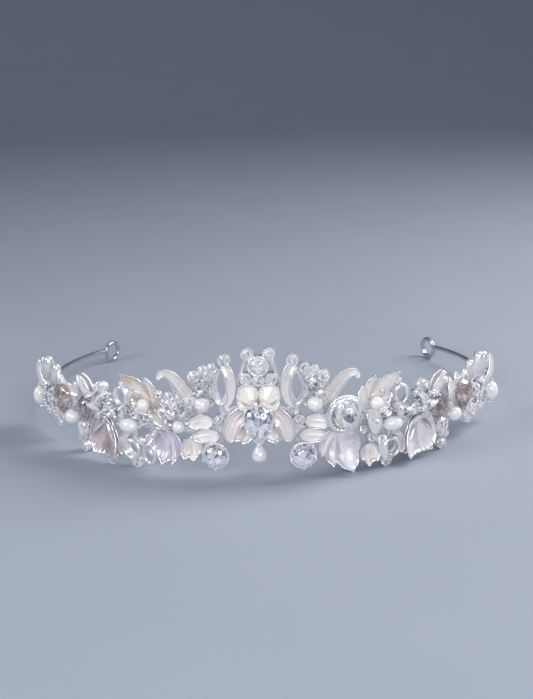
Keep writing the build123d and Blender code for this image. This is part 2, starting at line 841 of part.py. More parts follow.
outer_gems = (
    (clear_pear, pear_outline(*clear_pear_size), clear_pear_size[0] / 2, 12),
    (dark_gem, oval_outline(*dark_gem_size), dark_gem_size[0], 10),
    (brown_pear, pear_outline(*brown_pear_size), brown_pear_size[0] / 2, 12),
)
with BuildPart() as outer_cut:
    for place, shape, half, sides in outer_gems:
        add(cut_stone(outer.at(*place, gem_girdle), shape, half, sides))
save_pair(outer_cut.part, "outer_gems")
outer_small = stones(outer, outer_stones)
outer_bead = round_bead(outer, *outer_pearl, outer_pearl_radius, outer_pearl_radius)
outer_beads = rondelles(outer, *outer_rondelles, 2)
pearl_on_tip = glued_pearl(outer, *tip_pearl, tip_pearl_radius, strip + tip_pearl_radius * 0.8)

with BuildPart() as outer_frame:
    flat = outer.flat
    with BuildSketch(outer.at(spray_outer, 0)):
        bars([flat(44.2, bow_height(44.2)), flat(61.8, bow_height(61.8))], rail)
        bars([flat(55.6, 1.8), flat(55.0, 12.4), flat(*dark_gem), flat(52.4, 20.0), flat(*tip_pearl)], stem)
        bars([flat(*clear_pear), flat(54.8, 9.0)], stem * 2)
        bars([flat(45.0, 18.2), flat(52.4, 18.2)], stem)
        bars([flat(46.2, 12.6), flat(47.0, 18.2), flat(46.8, 22.2)], stem)
        bars([flat(46.6, 12.4), flat(46.8, 8.0)], stem * 1.3)
        bars([flat(56.0, 11.0), flat(62.0, 10.6), flat(62.4, 15.8)], stem * 1.3)
    extrude(amount=strip)
    saddles(outer, 5.0)
    small_cups(outer, outer_stones)
    for place, shape, half, sides in outer_gems:
        tall_head(
            outer, place, shape, sides, gem_stem, gem_girdle, gem_claws, waist=gem_waist, rim=gem_rim
        )
    bead_string(outer, *outer_rondelles, string_lift(rondelle_radius))
    bead_string(outer, *outer_pearl, string_lift(outer_pearl_radius))
    standing_rod(outer, tip_pearl, foot_radius, tip_pearl_radius * pearl_seat)
    for held in (headband.part, outer_small, outer_cut.part, pearl_on_tip):
        add(held, mode=Mode.SUBTRACT)
save_pair(outer_frame.part, "outer_frame")

veined_leaf = leaf(
    outer,
    pointed_oval,
    (45.6, 13.2),
    ((-128, 6.2, 3.2), (-104, 13.2, 4.6), (-84, 12.0, 4.4), (-62, 9.6, 3.8), (-36, 5.2, 2.8)),
    (46.2, 8.4, 15.0, leaf_floor),
    (46.7, 9.4),
)
save_pair(veined_leaf, "veined_leaf")

upper_leaf = leaf(
    outer,
    pointed_oval,
    (50.8, 18.4),
    ((80, 6.8, 3.2), (44, 3.8, 2.2)),
    (51.6, 21.0, 9.0, leaf_floor),
    (51.6, 20.0),
)
save_pair(upper_leaf, "upper_leaf")
save_pair(outer_bead, "outer_pearl")
save_pair(outer_beads, "rondelles_outer")

# ---------------------------------------------------------------- end sprays
end_rail = bow_height(spray_end)
end_stones = ((66.6, 14.4, stone_small), (66.2, 7.8, stone_small), (68.6, 5.6, stone_small),
              (76.0, 14.6, stone_radius), (73.4, 7.2, stone_radius), (78.4, 6.4, stone_small),
              (79.6, 15.6, stone_radius), (82.8, 17.0, stone_small))
end_pearl = ((83.2, 6.4), (83.2, 13.8))
end_pearl_radius = 2.15
end_pearl_half = 3.1
end_small = stones(end, end_stones)
end_bead = round_bead(end, *end_pearl, end_pearl_radius, end_pearl_half)

with BuildPart() as end_frame:
    flat = end.flat
    with BuildSketch(end.at(spray_end, 0)):
        bars([flat(64.6, bow_height(64.6)), flat(83.0, bow_height(83.0))], rail)
        bars([flat(66.6, 14.4), flat(66.2, 7.8), flat(68.6, 5.6)], stem)
        bars([flat(72.0, end_rail), flat(72.0, 17.6)], stem * 1.3)
        bars([flat(73.0, end_rail), flat(76.0, 14.6)], stem)
        bars([flat(73.0, end_rail), flat(73.4, 7.2)], stem)
        bars([flat(83.2, 6.0), flat(83.2, 14.2), flat(82.8, 17.0)], stem)
        bars([flat(78.4, 6.4), flat(79.6, 15.6)], stem)
    extrude(amount=strip)
    saddles(end, 5.0)
    small_cups(end, end_stones)
    bead_string(end, *end_pearl, string_lift(end_pearl_radius))
    add(end_small, mode=Mode.SUBTRACT)
    add(headband.part, mode=Mode.SUBTRACT)
save_pair(end_frame.part, "end_frame")

end_leaf = leaf(
    end,
    pointed_oval,
    (71.6, 15.4),
    ((106, 11.2, 3.8), (82, 8.6, 3.4), (60, 9.6, 3.8), (136, 7.8, 3.0), (34, 7.0, 2.6)),
    (72.2, 19.0, 14.0, leaf_floor),
    (71.9, 17.0),
)
save_pair(end_leaf, "end_leaf")
save_pair(end_bead, "end_pearl")

# ---------------------------------------------------------------- glued pearls and small stones, by side
right_pearls = (pearl_on_leaf, pearl_on_tip)
with BuildPart() as pearls_right:
    for pearl in right_pearls:
        add(pearl)
    add(maple_leaf.part, mode=Mode.SUBTRACT)
save(pearls_right.part, "glued_pearls_right")
with BuildPart() as pearls_left:
    for pearl in right_pearls + (cluster,):
        add(pearl)
    add(maple_leaf.part, mode=Mode.SUBTRACT)
save(mirrored(pearls_left.part), "glued_pearls_left")

with BuildPart() as stones_right:
    for group in (inner_small, mid_small, outer_small, end_small):
        add(group)
save(stones_right.part, "rhinestones_right")
with BuildPart() as stones_left:
    add(stones_right.part)
    add(left_small)
save(mirrored(stones_left.part), "rhinestones_left")
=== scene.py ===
"""Looks of the bridal tiara: silver castings, pearly enamel leaves, foiled stones, glass discs and pearls."""

import math
from random import Random

import bmesh
import bpy
from mathutils import Matrix, Vector
from mathutils.bvhtree import BVHTree


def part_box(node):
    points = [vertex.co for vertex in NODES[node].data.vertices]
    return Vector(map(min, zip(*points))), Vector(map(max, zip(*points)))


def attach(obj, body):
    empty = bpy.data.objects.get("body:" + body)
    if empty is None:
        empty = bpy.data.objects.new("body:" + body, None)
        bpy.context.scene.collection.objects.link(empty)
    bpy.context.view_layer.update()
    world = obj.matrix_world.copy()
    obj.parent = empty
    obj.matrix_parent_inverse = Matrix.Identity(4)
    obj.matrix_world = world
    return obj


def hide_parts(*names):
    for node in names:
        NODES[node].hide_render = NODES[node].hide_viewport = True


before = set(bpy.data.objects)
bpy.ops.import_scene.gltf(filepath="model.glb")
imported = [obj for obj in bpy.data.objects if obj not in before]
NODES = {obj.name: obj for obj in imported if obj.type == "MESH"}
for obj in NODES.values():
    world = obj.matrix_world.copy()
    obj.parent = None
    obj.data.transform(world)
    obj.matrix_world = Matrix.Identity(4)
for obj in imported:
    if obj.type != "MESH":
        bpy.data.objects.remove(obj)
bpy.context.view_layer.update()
MM = 0.001

# -------- the bow's driving sizes, in mm
WIRE_RADIUS = 0.8
FRONT_RADIUS = 75.0
FRONT_HALF_ANGLE = math.radians(40)
SIDE_RADIUS = 64.0
STRIP = 1.0
FRONT_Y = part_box("headband")[0].y / MM + WIRE_RADIUS
FRONT_ARC = FRONT_HALF_ANGLE * FRONT_RADIUS
SIDE_CENTRE_X = (FRONT_RADIUS - SIDE_RADIUS) * math.sin(FRONT_HALF_ANGLE)
SIDE_CENTRE_Y = FRONT_RADIUS - (FRONT_RADIUS - SIDE_RADIUS) * math.cos(FRONT_HALF_ANGLE)
# Where each spray stands, as arc length from the bow's middle.
SPRAY_S = {"centre": 0.0, "inner": 15.0, "mid": 33.0, "outer": 52.0, "end": 73.0}
SIDES = {"right": 1, "left": -1}


class Spray:
    """The flat back plane of one spray; side is 1 for the right-hand one and -1 for its mirror image."""

    def __init__(self, name, side):
        self.s = SPRAY_S[name]
        if self.s <= FRONT_ARC:
            heading = self.s / FRONT_RADIUS
            x = FRONT_RADIUS * math.sin(heading)
            y = FRONT_RADIUS - FRONT_RADIUS * math.cos(heading)
        else:
            heading = FRONT_HALF_ANGLE + (self.s - FRONT_ARC) / SIDE_RADIUS
            x = SIDE_CENTRE_X + SIDE_RADIUS * math.sin(heading)
            y = SIDE_CENTRE_Y - SIDE_RADIUS * math.cos(heading)
        self.along = Vector((math.cos(heading) * side, math.sin(heading), 0))
        self.out = Vector((math.sin(heading) * side, -math.cos(heading), 0))
        self.foot = Vector((x * side, FRONT_Y + y, 0)) + self.out * WIRE_RADIUS

    def place(self, s, height, lift=0.0):
        """A point in metres, from arc length, height and lift off the spray's plane in millimetres."""
        point = self.foot + self.along * (s - self.s) + self.out * lift
        return Vector((point.x, point.y, height)) * MM

    def local(self, point):
        """Arc length, height and lift, in millimetres, of a point in metres."""
        away = point / MM - self.foot
        return self.s + away.dot(self.along), away.z, away.dot(self.out)


# -------- small helpers
# Corners this close are one corner of the CAD model.
WELD = 0.002 * MM


def put(name, data):
    """A new object in the scene."""
    thing = bpy.data.objects.new(name, data)
    bpy.context.scene.collection.objects.link(thing)
    return thing


def add_piece(name, mesh, materials, *replaced):
    """A new piece of the tiara, which may stand for CAD nodes."""
    piece = put(name, mesh)
    for material in materials:
        mesh.materials.append(material)
    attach(piece, "tiara")
    if replaced:
        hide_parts(*replaced)
    return piece


def node_bmesh(node):
    """The node's triangles with shared corners joined again."""
    work = bmesh.new()
    work.from_mesh(NODES[node].data)
    bmesh.ops.remove_doubles(work, verts=work.verts, dist=WELD)
    return work


def smoothstep(low, high, value):
    """A smooth rise from 0 at low to 1 at high."""
    t = min(max((value - low) / (high - low), 0.0), 1.0)
    return t * t * (3 - 2 * t)


def along(points, t):
    """A place on the smooth curve through the points, from 0 at the first to 1 at the last."""
    spans = len(points) - 1
    k = min(int(t * spans), spans - 1)
    f = t * spans - k
    near = (points[max(k - 1, 0)], points[k], points[k + 1], points[min(k + 2, spans)])
    return Vector([
        b + 0.5 * f * (c - a + f * (2 * a - 5 * b + 4 * c - d + f * (3 * b - a - 3 * c + d)))
        for a, b, c, d in zip(*near)
    ])


def turned(s, height, a, b, degrees):
    """Arc length and height of a place moved by a and b along axes that are turned in the spray's plane."""
    cos, sin = math.cos(math.radians(degrees)), math.sin(math.radians(degrees))
    return s + a * cos - b * sin, height + a * sin + b * cos


# -------- materials
# The two ends of a mask, as colours.
OFF, ON = (0, 0, 0), (1, 1, 1)


class Shader:
    """A node material round one Principled shader, with short ways to add nodes."""

    # The sockets that a Mix node uses for colours.
    FACTOR, FIRST, SECOND, MIXED = 0, 6, 7, 2

    def __init__(self, name):
        self.material = bpy.data.materials.new(name)
        self.material.use_nodes = True
        self.tree = self.material.node_tree
        self.shader = self.tree.nodes["Principled BSDF"]

    def set(self, **values):
        """Sets inputs of the Principled shader; an underscore stands for a space."""
        for key, value in values.items():
            self.shader.inputs[key.replace("_", " ")].default_value = value
        return self

    def node(self, kind, **values):
        """Adds a node; each value goes to the input of that name, or else to the node itself."""
        node = self.tree.nodes.new(kind)
        for key, value in values.items():
            if key in node.inputs:
                node.inputs[key].default_value = value
            else:
                setattr(node, key, value)
        return node

    def link(self, output, target):
        self.tree.links.new(output, target)

    def place(self):
        """The place on the object, the same in every view."""
        return self.node("ShaderNodeTexCoord").outputs["Object"]

    def noise(self, scale, detail, distortion=0.0):
        """Noise of so many features to the millimetre."""
        noise = self.node("ShaderNodeTexNoise", Scale=scale / MM, Detail=detail, Distortion=distortion)
        self.link(self.place(), noise.inputs["Vector"])
        return noise.outputs["Fac"]

    def ramp(self, source, *stops):
        """Colours by value: each stop is a place and the colour there."""
        ramp = self.node("ShaderNodeValToRGB")
        points = ramp.color_ramp.elements
        while len(points) < len(stops):
            points.new(0.5)
        for point, (place, colour) in zip(points, stops):
            point.position = place
            point.color = (*colour, 1)
        self.link(source, ramp.inputs["Fac"])
        return ramp.outputs["Color"]

    def span(self, source, low, high, start=0.0, end=1.0):
        """The source's stretch from start to end, brought to low to high."""
        span = self.node("ShaderNodeMapRange")
        for key, value in (("From Min", start), ("From Max", end), ("To Min", low), ("To Max", high)):
            span.inputs[key].default_value = value
        self.link(source, span.inputs["Value"])
        return span.outputs["Result"]

    def mix(self, factor, first, second):
        """Two colours mixed by a factor; each may be an output or a plain value."""
        mix = self.node("ShaderNodeMix", data_type="RGBA")
        for value, socket in ((factor, self.FACTOR), (first, self.FIRST), (second, self.SECOND)):
            if isinstance(value, bpy.types.NodeSocket):
                self.link(value, mix.inputs[socket])
            else:
                mix.inputs[socket].default_value = (*value, 1) if isinstance(value, tuple) else value
        return mix.outputs[self.MIXED]

    def attribute(self, name, output):
        return self.node("ShaderNodeAttribute", attribute_name=name).outputs[output]

    def colour(self, output):
        self.link(output, self.shader.inputs["Base Color"])

    def rough(self, scale, detail, low, high):
        """Roughness that drifts from low to high."""
        self.link(self.span(self.noise(scale, detail), low, high), self.shader.inputs["Roughness"])

    def bump(self, scale, detail, strength, distance):
        """A bumpy surface, with bumps of this height in millimetres."""
        bump = self.node("ShaderNodeBump", Strength=strength, Distance=distance * MM)
        self.link(self.noise(scale, detail), bump.inputs["Height"])
        self.link(bump.outputs["Normal"], self.shader.inputs["Normal"])


def silver(name, tone, low, high, pits, metal):
    """Silver plate: slightly clouded, with a fine cast or drawn grain; white plate is less of a mirror."""
    clouded = 0.82
    made = Shader(name).set(Metallic=metal)
    dark = tuple(channel * clouded for channel in tone)
    made.colour(made.ramp(made.noise(0.35, 4), (0.3, dark), (0.62, tone)))
    made.rough(1.6, 3, low, high)
    made.bump(1.8, 4, pits, 0.08)
    return made.material


def enamel(name, base, painted_shade, blush, painted_shade_height=None):
    """Pearly enamel: base, a painted shade colour in its folds, notches and feet, and drifts of blush; with a
    height given in mm, the blush fills all below it as painted shade.
    """
    brighter = 1.12
    made = Shader(name).set(Coat_Weight=0.7, Coat_Roughness=0.12, Specular_IOR_Level=0.6)
    tinted = made.mix(made.ramp(made.noise(0.16, 2), (0.38, OFF), (0.64, ON)), base, blush)
    # Painted shade towards the bottom: below the given height the colour turns to the brownish blush.
    if painted_shade_height:
        parts = made.node("ShaderNodeSeparateXYZ")
        made.link(made.place(), parts.inputs["Vector"])
        low = made.span(parts.outputs["Z"], 0.0, 1.0, painted_shade_height * 1.3 * MM, painted_shade_height * 0.5 * MM)
        tinted = made.mix(low, tinted, blush)
    # Painted shade: the shade colour, mixed in by each corner's share of painted shade.
    with_painted_shade = made.mix(made.attribute("shade_amount", "Fac"), tinted, painted_shade)
    # A painted sheen: drifts of a brighter base tone, standing in for the enamel's pearly lustre.
    painted_sheen = tuple(min(1.0, channel * brighter) for channel in base)
    made.colour(made.mix(made.ramp(made.noise(0.45, 3), (0.5, OFF), (0.8, ON)), with_painted_shade, painted_sheen))
    made.rough(1.2, 3, 0.22, 0.4)
    made.bump(2.2, 4, 0.18, 0.05)
    return made.material


def pearl(name, base, glow):
    """Nacre: a warm white with faint clouds under a clear glossy coat."""
    made = Shader(name).set(Coat_Weight=1.0, Coat_Roughness=0.06, Specular_IOR_Level=0.7)
    made.set(Subsurface_Weight=0.15, Subsurface_Scale=0.6 * MM)
    made.colour(made.mix(made.noise(0.5, 2, 0.6), base, glow))
    made.rough(1.5, 2, 0.16, 0.28)
    made.bump(1.0, 2, 0.06, 0.05)
    return made.material


def crystal(name, tint, sparkle=1.0):
    """Cut glass with painted reflections: each facet painted light or dark, broken up by painted shards as of
    the facets behind it.
    """
    made = Shader(name).set(Coat_Weight=1.0, Coat_Roughness=0.02, Specular_IOR_Level=1.0, Metallic=0.12)
    cells = made.node("ShaderNodeTexVoronoi", Scale=1.5 / MM, feature="F1")
    made.link(made.place(), cells.inputs["Vector"])
    deep, dim = tuple(c * 0.10 for c in tint), tuple(c * 0.55 for c in tint)
    painted_shards = made.ramp(cells.outputs["Color"], (0.0, deep), (0.34, dim), (0.5, tint), (0.7, ON))
    made.colour(made.mix(0.45 * sparkle, made.attribute("painted_facet_light", "Color"), painted_shards))
    made.rough(0.8, 2, 0.03, 0.09)
    return made.material


SILVER_WIRE = silver("silver_wire", (0.68, 0.70, 0.74), 0.24, 0.28, 0.01, 0.9)
SILVER_CAST = silver("silver_casting", (0.92, 0.91, 0.93), 0.18, 0.36, 0.5, 0.45)
SILVER_RIM = silver("silver_rim", (0.95, 0.94, 0.95), 0.14, 0.28, 0.3, 0.55)
PEARL_ENAMEL = enamel("pearl_enamel", (0.91, 0.88, 0.90), (0.42, 0.38, 0.52), (0.80, 0.72, 0.72))
WHITE_ENAMEL = enamel("white_enamel", (0.94, 0.92, 0.91), (0.58, 0.49, 0.46), (0.90, 0.83, 0.78))
# A tan copy of the white enamel with dark brown folds: painted shade on the left maple leaf and its blade.
SHADED_PEACH_ENAMEL = enamel("shaded_peach_enamel", (0.84, 0.78, 0.75), (0.36, 0.26, 0.21), (0.72, 0.56, 0.45))
# A darker lavender copy of the pearl enamel with brown below 9 mm: painted shade on the left veined leaf and
# the outer blades.
SHADED_PEARL_ENAMEL = enamel("shaded_pearl_enamel", (0.60, 0.57, 0.68), (0.19, 0.16, 0.23), (0.56, 0.42, 0.37), painted_shade_height=9.0)
# A lavender copy of the pearl enamel: painted shade over a whole leaf.
SHADED_LAVENDER_ENAMEL = enamel("lavender_enamel", (0.74, 0.70, 0.80), (0.30, 0.26, 0.42), (0.70, 0.58, 0.62))
IVORY_ENAMEL = enamel("ivory_enamel", (0.93, 0.89, 0.82), (0.62, 0.52, 0.42), (0.92, 0.86, 0.80))
BLUSH_ENAMEL = enamel("blush_enamel", (0.93, 0.88, 0.86), (0.68, 0.52, 0.54), (0.92, 0.82, 0.78))
PEARL = pearl("pearl", (0.88, 0.86, 0.82), (0.93, 0.91, 0.91))
MILKY = pearl("milky_drop", (0.72, 0.70, 0.82), (0.88, 0.86, 0.92))
RHINESTONE = crystal("rhinestone", (0.86, 0.85, 0.88))
CLEAR = crystal("clear_crystal", (0.88, 0.89, 0.93))
SMOKY = crystal("smoky_crystal", (0.84, 0.85, 0.90), 0.5)
NAVY = crystal("navy_crystal", (0.82, 0.84, 0.90), 0.5)
AMBER = crystal("amber_crystal", (0.46, 0.37, 0.35), 0.5)
CUT_GLASS = crystal("cut_glass", (0.90, 0.91, 0.94), 0.6)
GLASS = crystal("bead_glass", (0.90, 0.91, 0.94), 1.5)

# The materials of the CAD nodes, by the first of these words that a node's name holds.
MATERIALS = {
    "headband": SILVER_WIRE, "loop": SILVER_WIRE, "coils": SILVER_WIRE, "frame": SILVER_CAST,
    "drop_pearl": MILKY, "pearl": PEARL, "rondelles": GLASS, "rhinestones": RHINESTONE,
    "pear_crystal": SMOKY, "crown_crystal": CLEAR, "low_crystal": NAVY, "oval_crystal": SMOKY,
    "gems": AMBER, "cupped": IVORY_ENAMEL, "trumpet": BLUSH_ENAMEL, "curl": WHITE_ENAMEL,
    "shell": SHADED_LAVENDER_ENAMEL, "upper": SHADED_LAVENDER_ENAMEL, "petals": PEARL_ENAMEL, "leaf": PEARL_ENAMEL,
}


def material_of(node):
    return next(material for word, material in MATERIALS.items() if word in node)


for node in NODES:
    for slot in NODES[node].material_slots:
        slot.material = material_of(node)


# -------- the painted reflections and glints of cut facets
WHITE = (0.92, 0.92, 0.94)
SNOW = (0.74, 0.75, 0.80)
ASH = (0.40, 0.42, 0.48)
SLATE = (0.15, 0.17, 0.24)
INK = (0.03, 0.04, 0.07)
HONEY = (0.60, 0.40, 0.26)
ROSE = (0.80, 0.64, 0.60)
OLIVE = (0.33, 0.33, 0.25)
SKY = (0.47, 0.53, 0.70)
LILAC = (0.66, 0.64, 0.78)
BARK = (0.18, 0.12, 0.10)
SEPIA = (0.28, 0.20, 0.18)
MAUVE = (0.44, 0.34, 0.34)

# Mixed palettes of painted reflections and glints, for stones and glass discs.
SPARKLE = (WHITE, WHITE, SNOW, ROSE, ASH, HONEY, SLATE, SNOW)
ICE = (WHITE, SNOW, WHITE, SNOW, ASH, WHITE, SLATE)


# -------- cast forms
class Casting:
    """A piece in the making: closed forms in a spray's own arc length, height and lift, in mm."""

    COAT, METAL, STONE = 0, 1, 2
    # Half the stretch that gives a curve's direction, as a share of its length.
    AHEAD, AHEAD_ROUND = 0.02, 0.01
    STRANDS, STRAND_DEPTH = 3, 0.22

    def __init__(self, spray, side, seed=1):
        self.spray = Spray(spray, side)
        self.chance = Random(seed)
        self.vertices, self.shade_amount = [], []
        self.faces, self.slots, self.colours = [], [], []

    def point(self, place, shade_amount=0.3):
        """Adds a corner, with the share of painted shade that the enamel's colour gets there, up to 1."""
        self.vertices.append(self.spray.place(*place))
        self.shade_amount.append(shade_amount)
        return len(self.vertices) - 1

    def face(self, corners, slot=METAL, colour=SNOW):
        self.faces.append(tuple(corners))
        self.slots.append(slot)
        self.colours.append(colour)

    def walls(self, low, high, slot=METAL, palette=None):
        """Quads between two closed rings; slot may be a function of the place in the ring."""
        for i in range(len(low)):
            j = (i + 1) % len(low)
            colour = self.chance.choice(palette) if palette else SNOW
            self.face((low[i], low[j], high[j], high[i]), slot(i) if callable(slot) else slot, colour)

    def solid(self, rings, slot=METAL):
        """Walls from ring to ring, closed at both ends."""
        for low, high in zip(rings, rings[1:]):
            self.walls(low, high, slot)
        self.face(rings[0])
        self.face(rings[-1])

    def blade(self, spine, width, cup=0.5, blunt=0.6, skew=0.8):
        """A cast blade along a curve, dished, with a rib, flutes and a raised bright rim."""
        rows, columns, flutes = 26, 13, 2
        skin, foot, edge = 0.36, 0.5, 0.08
        rim, flute, rib, rib_width = 0.16, 0.06, 0.14, 0.14
        rings = []
        for k in range(rows + 1):
            t = k / rows
            centre = along(spine, t)
            ahead = along(spine, min(t + self.AHEAD, 1)) - along(spine, max(t - self.AHEAD, 0))
            side = Vector((-ahead.y, ahead.x, 0)).normalized()
            face = ahead.cross(side).normalized()
            half = width * math.sin(math.pi * t ** skew) ** blunt + foot * (1 - t) ** 3 + edge
            share = half / width
            front, back = [], []
            for c in range(columns):
                u = 2 * c / (columns - 1) - 1
                wave = math.cos(math.tau * flutes * u)
                dish = cup * share * u * u
                detail = rim * smoothstep(0.66, 0.84, abs(u)) + rib * share * math.exp(-(u / rib_width) ** 2)
                detail += flute * share * wave
                flat = centre + side * (half * u)
                # Painted shade: darker towards the blade's foot and in the valleys between its flutes.
                shade_amount = 0.55 * (1 - t) ** 2 + 0.35 * (0.5 - 0.5 * wave)
                front.append(self.point(flat + face * (dish + detail), shade_amount))
                back.append(self.point(flat + face * (dish - skin)))
            rings.append(front + back[::-1])
        self.solid(rings, lambda i: self.COAT if 2 <= i < columns - 3 else self.METAL)

    def tube(self, path, radius, sides=10, closed=False, twist=0, steps=40):
        """A round wire along a curve; radius may change along it, and twist makes turns of a rope."""
        route = path if callable(path) else lambda t: along(path, t)
        rings = []
        for k in range(steps if closed else steps + 1):
            t = k / steps
            centre = route(t)
            if closed:
                ahead = route((t + self.AHEAD_ROUND) % 1.0) - route((t - self.AHEAD_ROUND) % 1.0)
            else:
                ahead = route(min(t + self.AHEAD, 1)) - route(max(t - self.AHEAD, 0))
            ahead.normalize()
            guide = Vector((0, 0, 1)) if abs(ahead.z) < 0.9 else Vector((0, 1, 0))
            side = ahead.cross(guide).normalized()
            up = side.cross(ahead)
            size = radius(t) if callable(radius) else radius
            ring = []
            for i in range(sides):
                angle = math.tau * i / sides
                strand = math.cos(self.STRANDS * angle + math.tau * twist * t)
                bulge = 1 + self.STRAND_DEPTH * strand if twist else 1
                spoke = side * math.cos(angle) + up * math.sin(angle)
                ring.append(self.point(centre + spoke * size * bulge))
            rings.append(ring)
        if closed:
            for low, high in zip(rings, rings[1:] + rings[:1]):
                self.walls(low, high)
        else:
            self.solid(rings)

    def hoop(self, place, lift, width, tall, gauge, turn=0.0, twist=0, steps=48):
        """A closed oval wire lying in the spray's plane, with these half sizes."""

        def path(t):
            a, b = width * math.cos(math.tau * t), tall * math.sin(math.tau * t)
            return Vector((*turned(*place, a, b, turn), lift))

        self.tube(path, gauge, 12 if twist else 8, True, twist, steps)

    def circle(self, s, height, lift, radius, count, shift=0.0):
        """Corners round a place; shift turns them by a share of their spacing."""
        angles = [math.tau * (i + shift) / count for i in range(count)]
        return [self.point((s + radius * math.cos(a), height + radius * math.sin(a), lift)) for a in angles]

    def grain(self, place, radius):
        """A small ball of metal."""
        rows, sides = 5, 8
        s, height, lift = place
        tilts = [math.pi * k / rows for k in range(1, rows)]
        self.solid([self.circle(s, height, lift + radius * math.cos(tilt), radius * math.sin(tilt), sides)
                    for tilt in tilts])

    def beading(self, path, radius, count):
        """A row of small balls along a curve."""
        for k in range(count):
            self.grain(along(path, k / (count - 1)), radius)

    def brilliant(self, s, height, lift, radius):
        """A round cut stone in a cup: table, star and crown facets, pavilion, rim and claws."""
        sides, claws, claw_radius, gauge = 8, 5, 0.3, 0.2
        phase = self.chance.uniform(0, 1)

        def cut(*corners):
            """A facet with a painted reflection of its own."""
            self.face(corners, self.STONE, self.chance.choice(SPARKLE))

        table = self.circle(s, height, lift + 0.42 * radius, 0.50 * radius, sides, phase)
        star = self.circle(s, height, lift + 0.26 * radius, 0.78 * radius, sides, phase + 0.5)
        girdle = self.circle(s, height, lift, radius, sides, phase)
        culet = self.circle(s, height, lift - 0.7 * radius, 0.12 * radius, sides, phase)
        cut(*table)
        for low, high in ((table, star), (star, girdle)):
            for i in range(sides):
                j = (i + 1) % sides
                cut(low[i], high[i], low[j])
                cut(low[j], high[i], high[j])
        # The pavilion's facets get painted reflections, and the culet a dark painted reflection.
        self.walls(girdle, culet, self.STONE, SPARKLE)
        self.face(culet, self.STONE, SLATE)
        self.hoop((s, height), lift - 0.05, radius * 1.04, radius * 1.04, gauge, steps=24)
        reach = radius * 0.98
        for i in range(claws):
            a = math.tau * (i + phase) / claws
            self.grain((s + reach * math.cos(a), height + reach * math.sin(a), lift + 0.12), claw_radius)

    def rondelle(self, s, height, lift, radius, half, turn):
        """A cut glass disc bead on edge; turn is the direction of its bore, and half its half length."""
        sides, skew = 12, 0.5
        profile = ((-1, 0.55), (-0.45, 1.0), (0.0, 1.06), (0.45, 1.0), (1, 0.55))
        rings = []
        for place, share in profile:
            ring = []
            for i in range(sides):
                angle = math.tau * (i + place * skew) / sides
                across, out = radius * share * math.cos(angle), radius * share * math.sin(angle)
                ring.append(self.point((*turned(s, height, half * place, across, turn), lift + out)))
            rings.append(ring)
        # The walls get painted light and dark facets; one end is painted dark and the other light.
        for low, high in zip(rings, rings[1:]):
            self.walls(low, high, self.STONE, ICE)
        self.face(rings[0], self.STONE, SLATE)
        self.face(rings[-1], self.STONE, WHITE)

    def finish(self, name, coat=SILVER_CAST, *replaced, stone=RHINESTONE):
        """Makes the piece, with the coat on its enamelled faces."""
        mesh = bpy.data.meshes.new(name)
        mesh.from_pydata([tuple(v) for v in self.vertices], [], self.faces)
        work = bmesh.new()
        work.from_mesh(mesh)
        bmesh.ops.recalc_face_normals(work, faces=work.faces)
        work.to_mesh(mesh)
        work.free()
        # Each corner's share of painted shade, which the enamel materials read.
        painted_shade = mesh.attributes.new("shade_amount", "FLOAT", "POINT")
        painted_shade.data.foreach_set("value", self.shade_amount)
        for polygon, slot in zip(mesh.polygons, self.slots):
            polygon.material_index = slot
            polygon.use_smooth = slot != self.STONE
        paint_facet_lights(mesh, self.colours)
        return add_piece(name, mesh, (coat, SILVER_RIM, stone), *replaced)


def paint_facet_lights(mesh, colours):
    """Gives each face its own painted reflection colour, which the crystal materials show."""
    painted_facet_light = mesh.attributes.new("painted_facet_light", "FLOAT_COLOR", "CORNER")
    for polygon, colour in zip(mesh.polygons, colours):
        for corner in polygon.loop_indices:
            painted_facet_light.data[corner].color = (*colour, 1)


# -------- leaves and petals over the CAD solids
OUTLINE = 224
TIP_CLEARANCE = 0.3
LEAF_FLOOR = STRIP + 0.25


def ray(i):
    """The angle of one of the outline's rays."""
    return math.tau * i / OUTLINE


